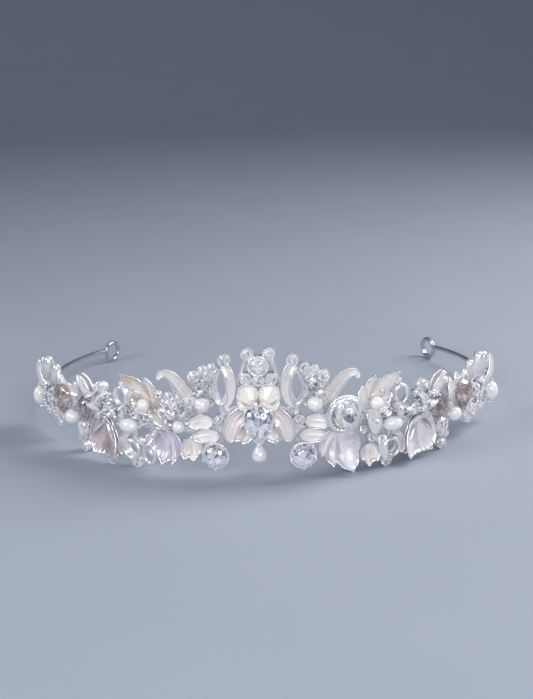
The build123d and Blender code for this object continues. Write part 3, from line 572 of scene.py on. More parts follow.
class Dish:
    """A leaf's outline, sampled on the node's mesh, the ball that it is dished on and its foot's place."""

    REACH = 14.0
    HALVINGS = 6

    def __init__(self, node, spray, start, ball, foot):
        self.spray, self.start, self.ball, self.foot = spray, start, ball, foot
        work = node_bmesh(node)
        self.tree = BVHTree.FromBMesh(work)
        work.free()
        self.edges = [self.edge(ray(i)) for i in range(OUTLINE)]

    def flat(self, r, angle):
        """Arc length and height at this distance and angle from the start."""
        return self.start[0] + r * math.cos(angle), self.start[1] + r * math.sin(angle)

    def reach_at(self, s, height):
        """Distance from the start to the outline, in the direction of this place."""
        turn = math.atan2(height - self.start[1], s - self.start[0]) % math.tau
        return self.edges[int(turn / math.tau * OUTLINE) % OUTLINE]

    def hit(self, r, angle):
        """Whether the solid is behind this place, seen along the spray's normal."""
        origin = self.spray.place(*self.flat(r, angle), self.REACH)
        return self.tree.ray_cast(origin, -self.spray.out, self.REACH * MM)[0] is not None

    def edge(self, angle):
        """Distance from the start to the outline at this angle."""
        step, far = 0.25, 0.5
        while far < self.REACH and self.hit(far, angle):
            far += step
        low, high = far - step, far
        for _ in range(self.HALVINGS):
            middle = (low + high) / 2
            low, high = (middle, high) if self.hit(middle, angle) else (low, middle)
        return low

    def lift(self, s, height):
        """Lift of the dished back surface."""
        radius = self.ball[2]
        away = (s - self.ball[0]) ** 2 + (height - self.ball[1]) ** 2
        return LEAF_FLOOR + radius - math.sqrt(max(radius ** 2 - away, 0.01))

    def outline(self, grow, fill, clear, tuck):
        """The outline, its notches filled by a share of the lobes beside them, grown and kept off the floor.

        The share tuck of that is done by drawing in the lower lobes, and the rest by a straight cut.
        """
        spread, sharpness = OUTLINE // 9, 4
        turns = [math.cos(ray(k)) ** sharpness for k in range(-spread, spread + 1)]
        full, room = [], []
        for i, edge in enumerate(self.edges):
            beside = max(self.edges[(i + k - spread) % OUTLINE] * turn for k, turn in enumerate(turns))
            full.append(max(edge, beside * fill) * grow)
            room.append((self.start[1] - clear) / max(-math.sin(ray(i)), 0.01))
        squeeze = tuck - tuck * min(min(limit / r for r, limit in zip(full, room)), 1)
        lower = [max(-math.sin(ray(i)), 0) ** 0.5 for i in range(OUTLINE)]
        return [min(r * (1 - squeeze * down), limit) for r, limit, down in zip(full, room, lower)]


def lobe_axes(edges):
    """Indices of the outline's tips: its local maxima that stand out from the notches beside them."""
    window, least_reach, prominence = 6, 2.5, 0.25
    tips = []
    for i, far in enumerate(edges):
        near = [edges[(i + k) % OUTLINE] for k in range(-window, window + 1)]
        if far == max(near) and far > least_reach and (not tips or i - tips[-1] > window):
            lows = [min(edges[(i + way * k) % OUTLINE] for k in range(1, OUTLINE // 6)) for way in (-1, 1)]
            if far - max(lows) > prominence:
                tips.append(i)
    return tips or [max(range(OUTLINE), key=lambda i: edges[i])]


def lobe(i, tips):
    """Rays from here to the nearest tip, that tip, and the share of the way to the next notch."""
    half = OUTLINE // 2
    gaps = sorted((abs((i - tip + half) % OUTLINE - half), tip) for tip in tips)
    gap, tip = gaps[0]
    width = gap + gaps[1][0] if len(tips) > 1 else OUTLINE
    return gap, tip, min(2 * gap / max(width, 1), 1.0)


def cast_leaf(made, dish, grow=1.0, fill=0.8, pleat=0.34, flutes=3, bulge=0.0, curl=0.2,
              clear=TIP_CLEARANCE, tuck=1.0):
    """A fine casting over a leaf's solid: pleated lobes, fluted blade, thick bright rim and a waisted foot.

    Pleat and flutes shape its folds; bulge lifts its middle and curl its tips.
    """
    rings, skin, rim_height = 16, 0.42, 0.2
    rim_steps = (0.62, 0.45, 0.12, 0.0)
    vein_height, vein_width, side_vein_height, side_veins = 0.2, 0.22, 0.05, 8.0
    edges = dish.outline(grow, fill, clear, tuck)
    tips = lobe_axes(edges)
    tilt = {tip: made.chance.uniform(-0.1, 0.25) + curl for tip in tips}
    lobes = [lobe(i, tips) for i in range(OUTLINE)]
    fronts, backs = [], []
    for k in range(1, rings + 1):
        inward = rim_steps[max(k - rings - 1 + len(rim_steps), 0)]
        share = (min(k / (rings - len(rim_steps) + 1), 1)) ** 0.85
        grown = smoothstep(0.05, 0.55, share)
        rim = rim_height if inward < rim_steps[0] else 0.0
        front, back = [], []
        for i, (gap, tip, across) in enumerate(lobes):
            r = max(edges[i] - inward, edges[i] * 0.6) * share
            ridge = 0.5 + 0.5 * math.cos(math.pi * across)
            vein = math.exp(-((gap * r * math.tau / OUTLINE) / vein_width) ** 2)
            flute = 0.5 + 0.5 * math.cos(math.tau * across * flutes)
            side_vein = side_vein_height * math.sin(side_veins * (r - gap * 0.09)) * (1 - vein)
            raised = (pleat * (ridge - 0.55) + 0.1 * (flute - 0.5) + vein_height * vein + side_vein) * grown
            s, height = dish.flat(r, ray(i))
            base = dish.lift(s, height) + (bulge * (1 - share ** 2) + tilt[tip] * share ** 3 * 2.0)
            # Painted shade: darker in the notches between lobes and near the leaf's start, lighter along the
            # vein.
            shade_amount = min(1.0, 0.65 * (1 - ridge) * grown + 0.4 * (1 - smoothstep(0.0, 0.4, share)))
            front.append(made.point((s, height, base + skin + raised + rim), shade_amount * (1 - 0.7 * vein)))
            back.append(made.point((s, height, base + raised * 0.8)))
        fronts.append(front)
        backs.append(back)
    middle = dish.lift(*dish.start) + bulge
    # The leaf's middle gets a good share of painted shade.
    top = made.point((*dish.start, middle + skin), 0.6)
    bottom = made.point((*dish.start, middle))
    for i in range(OUTLINE):
        j = (i + 1) % OUTLINE
        made.face((top, fronts[0][i], fronts[0][j]), made.COAT)
        made.face((bottom, backs[0][j], backs[0][i]), made.METAL)
    for index, (inner, outer) in enumerate(zip(fronts, fronts[1:])):
        made.walls(inner, outer, made.METAL if index >= rings - len(rim_steps) else made.COAT)
    made.walls(fronts[-1], backs[-1])
    for inner, outer in zip(backs, backs[1:]):
        made.walls(outer, inner)
    share = math.dist(dish.foot, dish.start) / max(dish.reach_at(*dish.foot), 1.0)
    cast_foot(made, *dish.foot, dish.lift(*dish.foot) + 0.1 + bulge * max(1 - share ** 2, 0) - 0.4 * pleat)


def cast_foot(made, s, height, head):
    """A waisted foot from the strip up to the back of a leaf."""
    made.tube([(s, height, STRIP), (s, height, (STRIP + head) / 2), (s, height, head)],
              lambda t: 0.9 - 0.28 * math.sin(math.pi * t) - 0.35 * t ** 4, 16, steps=8)


# Leaves of both sides: node, spray, start of the lobes, ball of the dish (arc length, height, radius), foot,
# left and right coats, and how they are cast; a left coat darker than its right one is painted shade.
LEAVES = (
    ("maple_leaf", "mid", (29.2, 18.4), (31.6, 22.0, 15.0), (30.6, 20.4), (SHADED_PEACH_ENAMEL, WHITE_ENAMEL),
     dict(grow=1.12, fill=0.74, pleat=0.55)),
    ("veined_leaf", "outer", (45.6, 13.2), (46.2, 8.4, 15.0), (46.7, 9.4), (SHADED_PEARL_ENAMEL, PEARL_ENAMEL),
     dict(grow=1.24, fill=0.96, clear=2.2, tuck=0.25)),
    ("upper_leaf", "outer", (50.8, 18.4), (51.6, 21.0, 9.0), (51.6, 20.0), (WHITE_ENAMEL, WHITE_ENAMEL),
     dict(grow=1.15, pleat=0.3, curl=0.4)),
    ("cupped_petal", "centre", (1.7, 22.4), (2.9, 25.0, 8.5), (2.9, 25.0), (IVORY_ENAMEL, IVORY_ENAMEL),
     dict(grow=1.14, fill=0.9, pleat=0.16, flutes=1, bulge=1.8)),
    ("trumpet_petal", "centre", (2.6, 19.4), (5.2, 15.4, 12.0), (5.0, 14.4), (BLUSH_ENAMEL, BLUSH_ENAMEL),
     dict(grow=1.14, fill=0.97, pleat=0.3, curl=0.1)),
)
# The two marquise petals of each inner spray: start, ball and foot.
MARQUISES = (
    ((12.0, 16.8), (15.0, 16.3, 10.0), (14.2, 16.2)),
    ((10.4, 12.6), (13.8, 12.3, 10.0), (13.7, 12.3)),
)
# Leaves of one side: node, spray, side, start, ball, foot, coat and how they are cast.
SINGLES = (
    ("fan_leaf_right", "inner", 1, (20.8, 13.2), (21.6, 9.0, 14.0), (20.8, 11.0), PEARL_ENAMEL,
     dict(grow=1.1, fill=0.95, pleat=0.5, clear=1.5)),
    ("fan_leaf_left", "mid", -1, (24.4, 12.8), (24.6, 9.6, 12.0), (24.8, 11.2), SHADED_LAVENDER_ENAMEL,
     dict(grow=1.1, fill=0.95, pleat=0.5, clear=2.6)),
    ("shell_petals", "mid", 1, (30.2, 7.6), (29.9, 5.4, 9.0), (30.2, 6.2), BLUSH_ENAMEL,
     dict(grow=1.2, fill=0.94, pleat=0.3, flutes=2)),
    ("shell_petals", "inner", -1, (18.6, 11.4), (18.3, 8.7, 9.0), (18.1, 9.3), BLUSH_ENAMEL,
     dict(grow=1.12, fill=0.94, pleat=0.3, flutes=2)),
)


def leaves():
    """Castings over all leaves and petals; the first one over a node replaces it."""
    for leaf, spray, start, ball, foot, coats, how in LEAVES:
        for word, coat in zip(("left", "right"), coats):
            node = f"{leaf}_{word}"
            made = Casting(spray, SIDES[word], len(leaf) + SIDES[word])
            cast_leaf(made, Dish(node, made.spray, start, ball, foot), **how)
            made.finish(f"{node}_casting", coat, node)
    for word, side in SIDES.items():
        node = f"marquise_petals_{word}"
        made = Casting("inner", side, 9)
        for petal in MARQUISES:
            cast_leaf(made, Dish(node, made.spray, *petal), grow=1.24, pleat=0.2, flutes=2, curl=0.1)
        made.finish(f"{node}_casting", WHITE_ENAMEL, node)
    replaced = set()
    for node, spray, side, start, ball, foot, coat, how in SINGLES:
        made = Casting(spray, side, 5)
        cast_leaf(made, Dish(node, made.spray, start, ball, foot), **how)
        piece = made.finish(f"{node}_{spray}_casting", coat)
        if node not in replaced:
            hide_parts(node)
            replaced.add(node)


# The hooked leaf of each inner spray: its broad blade, the shoot beside it and the stem below them.
HOOK = [(16.9, 21.4, 2.0), (18.9, 24.8, 3.2), (20.9, 28.0, 4.2), (22.9, 30.6, 5.2), (25.0, 31.1, 6.2),
        (26.0, 29.3, 6.4)]
SHOOT = [(18.2, 22.4, 1.8), (20.4, 24.6, 2.8), (22.4, 27.4, 3.4)]
HOOK_STEM = [(18.6, 22.6, 1.0), (18.4, 23.4, 1.8), (18.8, 24.4, 2.9)]
# What crowns each end: spines, with the greatest radius of a bud or half width of a blade.
END_BUDS = (
    ([(73.0, 16.6, 1.4), (74.0, 19.8, 3.0), (74.8, 22.6, 3.6), (75.0, 25.2, 3.4)], 1.55),
    ([(71.4, 16.2, 1.4), (71.0, 19.8, 3.0), (70.8, 23.0, 3.8), (70.8, 26.4, 3.8)], 1.75),
    ([(69.0, 16.0, 1.4), (66.8, 18.8, 2.8), (65.6, 21.8, 3.4), (65.2, 25.2, 3.2)], 1.5),
)
END_BLADES = (
    ([(71.6, 16.0, 1.4), (68.4, 18.6, 2.6), (65.8, 20.8, 3.2)], 1.5),
    ([(72.0, 16.4, 1.4), (72.4, 20.0, 2.4), (72.6, 23.6, 2.6)], 1.5),
    ([(72.4, 16.2, 1.4), (75.4, 17.8, 2.4), (78.4, 20.4, 2.8)], 1.5),
)


def bud(made, spine, radius):
    """A closed bud that swells towards its round tip."""
    made.tube(spine, lambda t: 0.2 + radius * smoothstep(-0.2, 0.6, t) * math.sqrt(max(1 - t ** 6, 0)), 20)


def curls():
    """The hooked leaf of each inner spray, and the buds and blades that crown each end."""
    for word, side in SIDES.items():
        made = Casting("inner", side)
        made.blade(HOOK, 1.7, cup=0.7, skew=0.6)
        made.blade(SHOOT, 0.8, cup=0.3, blunt=0.8)
        made.tube(HOOK_STEM, 0.6, steps=8)
        made.finish(f"curl_leaf_{word}_casting", WHITE_ENAMEL, f"curl_leaf_{word}")
        made = Casting("end", side)
        for spine, radius in END_BUDS:
            bud(made, spine, radius)
        for spine, width in END_BLADES:
            made.blade(spine, width)
        made.finish(f"end_leaf_{word}_casting", PEARL_ENAMEL, f"end_leaf_{word}")


# -------- cut stones
# Where stones stand in their sprays.
CROWN_STONE, LOW_STONE, OVAL_STONE = (0.0, 33.0), (10.9, 7.7), (22.4, 18.6)
CLEAR_GEM, DARK_GEM, BROWN_GEM = (53.8, 7.6), (52.4, 14.9), (62.4, 15.8)
# Each large stone: node, spray, place, half height, and the painted reflections of its upper, middle and
# lower facets, mostly darker above and lighter below.
STONES = (
    ("pear_crystal", "centre", (0.0, 17.4), 5.6,
     (SLATE, ASH, INK, SLATE, SKY, SNOW), (LILAC, SNOW, LILAC, WHITE), (WHITE, WHITE, SNOW, OLIVE)),
    ("crown_crystal", "centre", CROWN_STONE, 2.5,
     (WHITE, SNOW, ROSE), (WHITE, SNOW, ASH), (WHITE, WHITE, SNOW)),
    ("low_crystal", "inner", LOW_STONE, 3.5,
     (SLATE, ASH, LILAC, INK, SNOW), (SNOW, ASH, WHITE, LILAC), (WHITE, WHITE, SNOW)),
    ("oval_crystal", "inner", OVAL_STONE, 4.4,
     (SNOW, WHITE, ASH), (INK, WHITE, SNOW, OLIVE), (WHITE, SNOW, HONEY)),
    ("outer_gems", "outer", CLEAR_GEM, 3.0, ICE, (WHITE, SNOW, ROSE), (WHITE, SNOW, HONEY)),
    # The dark and brown gems' facets hold their own brown colour as well as painted reflections.
    ("outer_gems", "outer", DARK_GEM, 2.3, (BARK, SEPIA, INK), (SEPIA, BARK, ASH), (ASH, BARK, SEPIA)),
    ("outer_gems", "outer", BROWN_GEM, 3.2,
     (SEPIA, BARK, MAUVE, MAUVE), (SEPIA, MAUVE, SEPIA, ROSE), (BARK, SEPIA, MAUVE)),
)
# The share of the half height, up and down, that the middle facets take up.
MIDDLE_BAND = 0.2
# The dark reflection in the oval stone: its place and radius.
SPOT, SPOT_RADIUS = (23.1, 18.2), 1.2
# How much larger the outer gems are than their solids.
GROWN_GEMS = ((DARK_GEM, 1.7), (BROWN_GEM, 1.5), (CLEAR_GEM, 1.15))
# The lift of a gem's middle, and the farthest that its corners lie from it.
GEM_LIFT, GEM_REACH = 3.4, 4.2


def split_facets(work, chance):
    """Divides each facet into low pyramids, twice where it is large."""
    for least in (0.5, 1.1):
        for face in [face for face in work.faces if face.calc_area() > (least * MM) ** 2]:
            push = math.sqrt(face.calc_area()) * chance.uniform(0.03, 0.07)
            middle = face.calc_center_median() + face.normal * push
            bmesh.ops.poke(work, faces=[face])["verts"][0].co = middle


def grow_gems(work, plane):
    """Grows each of the outer gems about its middle."""
    for place, growth in GROWN_GEMS:
        centre = plane.place(*place, GEM_LIFT)
        for vertex in work.verts:
            if (vertex.co - centre).length < GEM_REACH * MM:
                vertex.co = centre + (vertex.co - centre) * growth


def recut(node, seed):
    """The node's stones with smaller facets, each with a painted reflection of its own."""
    chance = Random(seed)
    side = -1 if node.endswith("left") else 1
    known = [(Spray(spray, side), place, half, bands)
             for key, spray, place, half, *bands in STONES if node.startswith(key)]
    work = node_bmesh(node)
    bmesh.ops.dissolve_limit(work, angle_limit=math.radians(1.0), verts=work.verts, edges=work.edges)
    split_facets(work, chance)
    if node.startswith("outer_gems"):
        grow_gems(work, Spray("outer", side))
    mesh = bpy.data.meshes.new(f"{node}_cut")
    work.normal_update()
    work.to_mesh(mesh)
    work.free()

    def palette(centre):
        """The painted reflections for a facet here."""
        if not known:
            return SPARKLE
        places = [(plane.local(centre), place, half, bands) for plane, place, half, bands in known]
        here, place, half, bands = min(places, key=lambda found: math.dist(found[0][:2], found[1]))
        if node.startswith("oval_crystal") and math.dist(here[:2], SPOT) < SPOT_RADIUS:
            return INK, SLATE
        up = (here[1] - place[1]) / half
        return bands[0] if up > MIDDLE_BAND else bands[1] if up > -MIDDLE_BAND else bands[2]

    for polygon in mesh.polygons:
        polygon.use_smooth = False
    paint_facet_lights(mesh, [chance.choice(palette(polygon.center)) for polygon in mesh.polygons])
    add_piece(f"{node}_cut", mesh, (material_of(node),), node)


def stones():
    """Recuts every stone of the CAD model."""
    cut = {key for key, *_ in STONES} | {"rhinestones"}
    for number, node in enumerate(sorted(NODES)):
        if any(node.startswith(key) for key in cut):
            recut(node, number)


# -------- blades beside the leaves
BOTH, LEFT, RIGHT = tuple(SIDES), ("left",), ("right",)
# Broad blades with no solid: name, spray, sides, coat, then each blade's spine and half width.
BLADES = (
    ("centre", "centre", BOTH, BLUSH_ENAMEL,
     ([(3.6, 20.2, 2.4), (6.4, 17.8, 3.4), (7.8, 14.4, 3.6), (8.0, 11.2, 3.2)], 2.3),
     ([(1.0, 23.6, 4.0), (2.2, 22.2, 4.6), (4.2, 22.0, 4.6), (5.6, 23.6, 4.0)], 0.75)),
    ("inner", "inner", BOTH, WHITE_ENAMEL,
     ([(8.8, 33.6, 1.5), (7.0, 30.4, 2.0), (6.5, 26.8, 2.2), (7.2, 23.2, 2.0), (9.0, 20.4, 1.5)], 1.15),
     ([(11.4, 32.4, 1.4), (12.6, 29.4, 1.7), (12.8, 26.4, 1.8), (11.8, 23.0, 1.5)], 0.8)),
    ("mid", "mid", BOTH, PEARL_ENAMEL,
     ([(39.2, 8.8, 1.6), (40.4, 6.2, 2.6), (39.8, 3.4, 2.8)], 1.0)),
    ("pearly", "mid", RIGHT, PEARL_ENAMEL,
     ([(34.6, 9.4, 1.6), (33.8, 6.6, 2.6), (34.6, 3.6, 3.0), (36.8, 2.2, 2.6)], 1.2)),
    ("upper", "outer", BOTH, WHITE_ENAMEL,
     ([(49.6, 18.0, 3.0), (50.8, 21.0, 4.0), (52.2, 23.8, 4.6), (53.8, 25.2, 4.4)], 1.5),
     ([(56.2, 18.6, 2.6), (58.8, 19.4, 3.2), (61.4, 20.6, 3.4), (63.6, 23.0, 3.0)], 1.4)),
    # These blades wear the darker copy of the pearl enamel, which is painted shade.
    ("outer", "outer", BOTH, SHADED_PEARL_ENAMEL,
     ([(46.8, 13.0, 1.8), (49.8, 11.0, 2.4), (51.8, 8.2, 2.6), (52.2, 5.0, 2.2)], 2.1),
     ([(44.6, 12.6, 1.6), (42.2, 10.2, 2.2), (40.6, 6.4, 2.4), (40.3, 2.6, 2.2)], 1.6)),
    ("frost", "outer", RIGHT, WHITE_ENAMEL,
     ([(60.2, 11.6, 2.0), (58.6, 14.8, 3.2), (57.6, 18.2, 3.6), (57.4, 21.4, 3.2)], 2.0),
     ([(61.4, 17.6, 2.6), (60.4, 20.4, 3.2), (59.8, 23.0, 3.0)], 1.4)),
    # This blade's peach coat is painted shade.
    ("peach", "mid", LEFT, SHADED_PEACH_ENAMEL,
     ([(29.4, 18.8, 2.6), (27.8, 17.4, 3.4), (26.2, 15.8, 3.4), (25.6, 14.4, 3.0)], 1.5)),
    ("snowy", "mid", RIGHT, WHITE_ENAMEL,
     ([(29.8, 18.6, 3.0), (30.4, 15.6, 3.8), (31.0, 12.8, 3.8), (31.6, 10.6, 3.2)], 2.0),
     ([(29.0, 19.0, 2.8), (27.2, 20.4, 3.6), (26.4, 23.0, 3.8), (26.8, 25.6, 3.6)], 1.5)),
    ("end", "end", BOTH, WHITE_ENAMEL,
     ([(66.2, 14.6, 2.0), (64.2, 17.6, 3.0), (63.2, 21.0, 3.6), (63.6, 24.0, 3.4)], 1.5),
     ([(77.8, 12.4, 2.0), (80.2, 15.4, 3.2), (81.4, 19.0, 3.6), (81.2, 22.6, 3.2)], 1.9),
     ([(73.4, 15.6, 2.4), (72.6, 19.0, 3.2), (72.0, 22.6, 3.4), (72.4, 25.4, 3.0)], 1.6)),
)


def blades():
    for name, spray, words, coat, *forms in BLADES:
        for word in words:
            made = Casting(spray, SIDES[word])
            for spine, width in forms:
                made.blade(spine, width)
            made.finish(f"blades_{name}_{word}", coat)


# -------- small settings between the main pieces
# Small stones in cups (arc length, height, lift, radius), by spray.
SEEDS = {
    "inner": ((7.6, 19.8, 2.0, 1.0), (19.0, 20.4, 2.2, 1.0)),
    "mid": ((26.8, 16.6, 2.4, 1.2), (35.0, 18.6, 2.4, 1.2), (38.4, 10.4, 2.4, 1.1), (33.4, 8.4, 2.2, 1.1),
            (38.6, 24.6, 2.4, 1.2), (34.4, 22.6, 2.0, 1.1), (28.2, 12.2, 2.0, 1.1), (36.4, 2.0, 2.0, 1.1),
            (26.6, 20.6, 2.0, 1.0)),
    "outer": ((44.6, 20.2, 2.4, 1.2), (49.4, 21.4, 2.6, 1.3), (44.2, 16.4, 2.4, 1.2), (57.6, 20.4, 2.6, 1.2),
              (48.2, 13.6, 2.8, 1.1), (57.4, 11.2, 2.4, 1.1), (57.0, 4.6, 2.4, 1.1)),
    "end": ((67.0, 11.2, 2.8, 1.4), (70.2, 12.6, 2.8, 1.4), (74.4, 11.4, 2.8, 1.3), (70.4, 8.4, 2.6, 1.2),
            (78.2, 12.2, 2.8, 1.3), (76.4, 8.6, 2.4, 1.2), (81.0, 12.0, 2.6, 1.2)),
}
# Stones that only the left-hand side has, below the hooked leaf.
LEFT_SEEDS = ((25.8, 21.4, 2.6, 1.15), (23.4, 20.6, 2.4, 1.1), (26.6, 18.6, 2.6, 1.2), (24.2, 18.0, 2.6, 1.2),
              (27.6, 23.6, 2.2, 1.0), (19.2, 16.4, 2.4, 1.1), (22.4, 25.2, 2.2, 1.0))
# The glass drop below the left veined leaf, and the wire that carries it.
LEAF_DROP = (42.0, 1.8, 3.4, 1.45)
LEAF_DROP_WIRE = [(42.0, 1.9, 2.4), (43.0, 3.8, 1.8), (44.2, 6.4, 1.4)]
# Cut glass discs (arc length, height, lift, radius, half length, direction of the bore), by spray.
DISCS = {
    "inner": ((20.4, 18.6, 3.2, 1.8, 0.9, 40), (13.4, 28.8, 3.2, 1.7, 0.8, 70),
              (15.6, 25.2, 3.4, 1.8, 0.9, 60)),
    "mid": ((31.4, 14.8, 3.2, 1.9, 0.9, 80), (38.4, 17.0, 3.6, 2.1, 1.0, 10),
            (34.8, 16.2, 3.0, 1.7, 0.8, 100), (42.2, 16.0, 3.4, 2.0, 1.0, 60)),
    "outer": ((45.2, 19.0, 3.6, 2.2, 1.0, 20), (47.6, 16.6, 4.0, 2.2, 1.0, 110),
              (50.0, 19.4, 3.4, 2.0, 0.9, 60), (44.4, 15.6, 3.0, 1.8, 0.9, 80),
              (57.0, 14.4, 3.0, 1.8, 0.9, 20)),
    "end": ((68.6, 15.6, 3.6, 1.8, 0.9, 120), (74.4, 15.4, 3.4, 1.8, 0.9, 20)),
}


def seed_stone(made, s, height, lift, radius):
    """A small stone in a flared cup that stands in the strip."""
    made.brilliant(s, height, lift, radius)
    made.tube([(s, height, STRIP * 0.4), (s, height, lift - 0.5 * radius), (s, height, lift - 0.2)],
              lambda t: radius * (0.45 + 0.5 * t), 12, steps=6)


def glass_disc(made, s, height, lift, radius, half, turn):
    """A glass disc on a fine wire whose ends go down into the strip."""
    overhang, bend, gauge = 0.9, 0.9, 0.22
    made.rondelle(s, height, lift, radius, half, turn)
    ahead = Vector((math.cos(math.radians(turn)), math.sin(math.radians(turn)), 0)) * (half + overhang)
    middle = Vector((s, height, lift))
    down = Vector((0, 0, lift - STRIP * 0.6))
    made.tube([middle - ahead - down, middle - ahead * bend, middle, middle + ahead * bend,
               middle + ahead - down], gauge, 8, steps=32)


def settings():
    """Seed stones and glass discs of all sprays, with the left side's own cluster and drop."""
    made = Casting("inner", -1, 33)
    for stone in LEFT_SEEDS:
        seed_stone(made, *stone)
    made.finish("seed_stones_left_cluster")
    made = Casting("outer", -1, 34)
    made.brilliant(*LEAF_DROP)
    made.tube(LEAF_DROP_WIRE, 0.45)
    made.finish("leaf_drop_left")
    for spray in SEEDS:
        for word, side in SIDES.items():
            made = Casting(spray, side, 31 + side)
            for stone in SEEDS[spray]:
                seed_stone(made, *stone)
            made.finish(f"seed_stones_{spray}_{word}")
            made = Casting(spray, side, 41 + side)
            for disc in DISCS[spray]:
                glass_disc(made, *disc)
            made.finish(f"glass_discs_{spray}_{word}", stone=CUT_GLASS)


# The eye of each inner spray, above its marquise petals.
EYE = (9.9, 26.6)
# Rings of each mid spray: place, lift, half width, half height and gauge.
RINGS = (
    ((40.6, 20.4), 1.2, 1.9, 2.6, 0.6),
    ((37.0, 5.4), 2.4, 2.6, 2.6, 0.65),
    ((37.2, 5.4), 1.4, 2.5, 2.6, 0.7),
)
# The ring that only the left mid spray has, and its stem.
LEFT_RING = ((30.4, 5.4), 3.3, 1.9, 2.8, 0.6)
LEFT_RING_STEM = [(30.4, 7.8, 3.2), (30.0, 9.6, 2.2), (29.6, 11.4, 0.9)]
# Beaded lines of the ends: curve, radius of the beads and their number.
BEADED_LINES = (
    ([(79.6, 18.0, 2.6), (81.4, 15.2, 3.0), (81.6, 11.6, 3.0), (80.8, 8.2, 2.8), (79.0, 5.8, 2.4)], 0.55, 14),
    ([(77.8, 19.2, 2.4), (77.4, 16.4, 2.8), (76.8, 13.2, 3.0), (76.8, 10.0, 2.8)], 0.5, 12),
    ([(65.0, 12.0, 2.4), (66.6, 9.4, 2.6), (69.0, 7.2, 2.6), (72.4, 5.4, 2.4)], 0.55, 12),
)
# Stem wires beside the crown: curve and radius.
STEM_WIRES = (
    ([(3.0, 35.6, 1.4), (3.9, 33.0, 1.5), (4.9, 30.4, 1.5), (5.9, 28.6, 1.3)], 0.48),
    ([(5.9, 28.6, 1.3), (5.3, 26.8, 1.3), (4.9, 24.6, 1.2)], 0.42),
)


def rims():
    """Rims round the large stones, rings and eyes, beaded lines and stem wires."""
    for word, side in SIDES.items():
        made = Casting("inner", side)
        made.hoop(LOW_STONE, 4.7, 3.62, 3.62, 0.26, twist=26, steps=96)
        if word == "right":
            made.hoop(OVAL_STONE, 5.0, 3.9, 4.7, 0.55, turn=-30, twist=22, steps=120)
            made.hoop(OVAL_STONE, 4.2, 4.5, 5.3, 0.35, turn=-30, twist=30, steps=120)
        made.hoop(EYE, 1.3, 2.15, 5.0, 0.55)
        made.hoop(EYE, 1.9, 2.25, 5.1, 0.22, twist=40, steps=120)
        made.finish(f"stone_rims_{word}")
        made = Casting("mid", side)
        for ring in RINGS:
            made.hoop(*ring)
        if word == "left":
            made.hoop(*LEFT_RING)
            made.tube(LEFT_RING_STEM, 0.45)
        made.finish(f"ring_rims_{word}")
        made = Casting("end", side)
        for line in BEADED_LINES:
            made.beading(*line)
        made.finish(f"beaded_lines_{word}")
        made = Casting("centre", side)
        for wire in STEM_WIRES:
            made.tube(*wire)
        made.finish(f"stem_wires_{word}")
    made = Casting("centre", 1)
    made.hoop(CROWN_STONE, 2.9, 2.7, 2.7, 0.3, twist=20, steps=96)
    made.finish("crown_rim")


def soften(node, width):
    """Rounds the cast edges of a frame; its mesh stays as it is."""
    piece = NODES[node]
    weld = piece.modifiers.new("weld", "WELD")
    weld.merge_threshold = WELD
    bevel = piece.modifiers.new("bevel", "BEVEL")
    bevel.width = width * MM
    bevel.segments = 2
    bevel.limit_method = "ANGLE"
    bevel.angle_limit = math.radians(40)
    bevel.harden_normals = True


# -------- floor, light and camera, in metres
# The paper's flat radius, the radius of its bend and its height.
FLAT, BEND, RISE = 0.9, 0.8, 2.4
# What the lamps are turned to.
MIDDLE = Vector((0, 0, 0.02))
# Place, size, power and colour of each lamp.
LAMPS = {
    "window": ((0.45, 0.10, 0.42), (0.30, 0.45), 3.2, (1.0, 0.98, 0.95)),
    "fill": ((-0.5, -0.30, 0.35), (0.25, 0.25), 1.6, (0.95, 0.97, 1.0)),
    "front": ((0.10, -0.60, 0.22), (0.50, 0.20), 2.0, (1.0, 1.0, 1.0)),
}
AIR_COLOUR, AIR_STRENGTH = (0.72, 0.76, 0.84, 1), 0.50


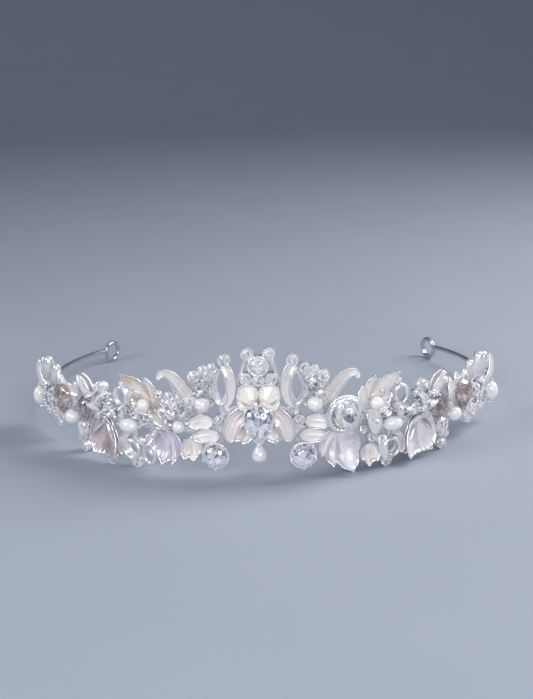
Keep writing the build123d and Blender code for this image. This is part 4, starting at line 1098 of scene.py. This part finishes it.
def floor():
    """A sheet of blue-grey paper, flat round the tiara and bent up far away."""
    steps, turns = 12, 48
    bends = [math.pi / 2 * k / steps for k in range(steps + 1)]
    sweep = [(FLAT + BEND * math.sin(b), BEND - BEND * math.cos(b)) for b in bends] + [(FLAT + BEND, RISE)]
    corners = [(r * math.cos(math.tau * i / turns), r * math.sin(math.tau * i / turns), z)
               for r, z in sweep for i in range(turns)]
    beside = [(i, (i + 1) % turns) for i in range(turns)]
    starts = [row * turns for row in range(len(sweep) - 1)]
    faces = [(low + i, low + turns + i, low + turns + j, low + j) for low in starts for i, j in beside]
    mesh = bpy.data.meshes.new("floor")
    mesh.from_pydata(corners, [], [tuple(range(turns))] + faces)
    mesh.validate()
    for polygon in mesh.polygons:
        polygon.use_smooth = True
    paper = Shader("floor_paper").set(Specular_IOR_Level=0.2)
    paper.colour(paper.mix(paper.noise(0.02, 3), (0.36, 0.40, 0.48), (0.39, 0.43, 0.51)))
    paper.rough(0.2, 3, 0.75, 0.9)
    mesh.materials.append(paper.material)
    put("floor", mesh)


def light():
    """The lamps and the light of the air."""
    for name, (place, size, power, colour) in LAMPS.items():
        data = bpy.data.lights.new(name, "AREA")
        data.shape = "RECTANGLE"
        data.size, data.size_y = size
        data.energy = power
        data.color = colour
        lamp = put(name, data)
        lamp.location = place
        lamp.rotation_euler = (MIDDLE - Vector(place)).to_track_quat("-Z", "Y").to_euler()
    world = bpy.data.worlds.new("studio")
    world.use_nodes = True
    air = world.node_tree.nodes["Background"]
    air.inputs["Color"].default_value = AIR_COLOUR
    air.inputs["Strength"].default_value = AIR_STRENGTH
    bpy.context.scene.world = world
    bpy.context.scene.view_settings.view_transform = "Standard"


# Where the camera stands, from the bow's centre, in mm and degrees, and its lens.
CAMERA_AWAY = 334.4
CAMERA_HEIGHT = 121.4
CAMERA_DOWN = 17.42
CAMERA_ROLL = -1.19
CAMERA_ROUND = 1.89
CAMERA_ASIDE = 0.22
CAMERA_ORIGIN_Y = FRONT_Y + 64.0
LENS = 54.08


def camera():
    """The camera of the photograph."""
    data = bpy.data.cameras.new("camera")
    data.lens = LENS
    data.clip_start = 0.01
    turn = Matrix.Rotation(math.radians(CAMERA_ROUND), 4, "Z")
    spot = turn @ Vector((CAMERA_ASIDE, -CAMERA_AWAY, CAMERA_HEIGHT))
    spot.y += CAMERA_ORIGIN_Y
    down = Matrix.Rotation(math.radians(90 - CAMERA_DOWN), 4, "X")
    roll = Matrix.Rotation(math.radians(CAMERA_ROLL), 4, "Z")
    eye = put("camera", data)
    eye.matrix_world = Matrix.Translation(spot * MM) @ turn @ down @ roll
    bpy.context.scene.camera = eye


leaves()
curls()
blades()
stones()
settings()
rims()
for node in NODES:
    if "_frame" in node:
        soften(node, 0.16)
floor()
light()
camera()
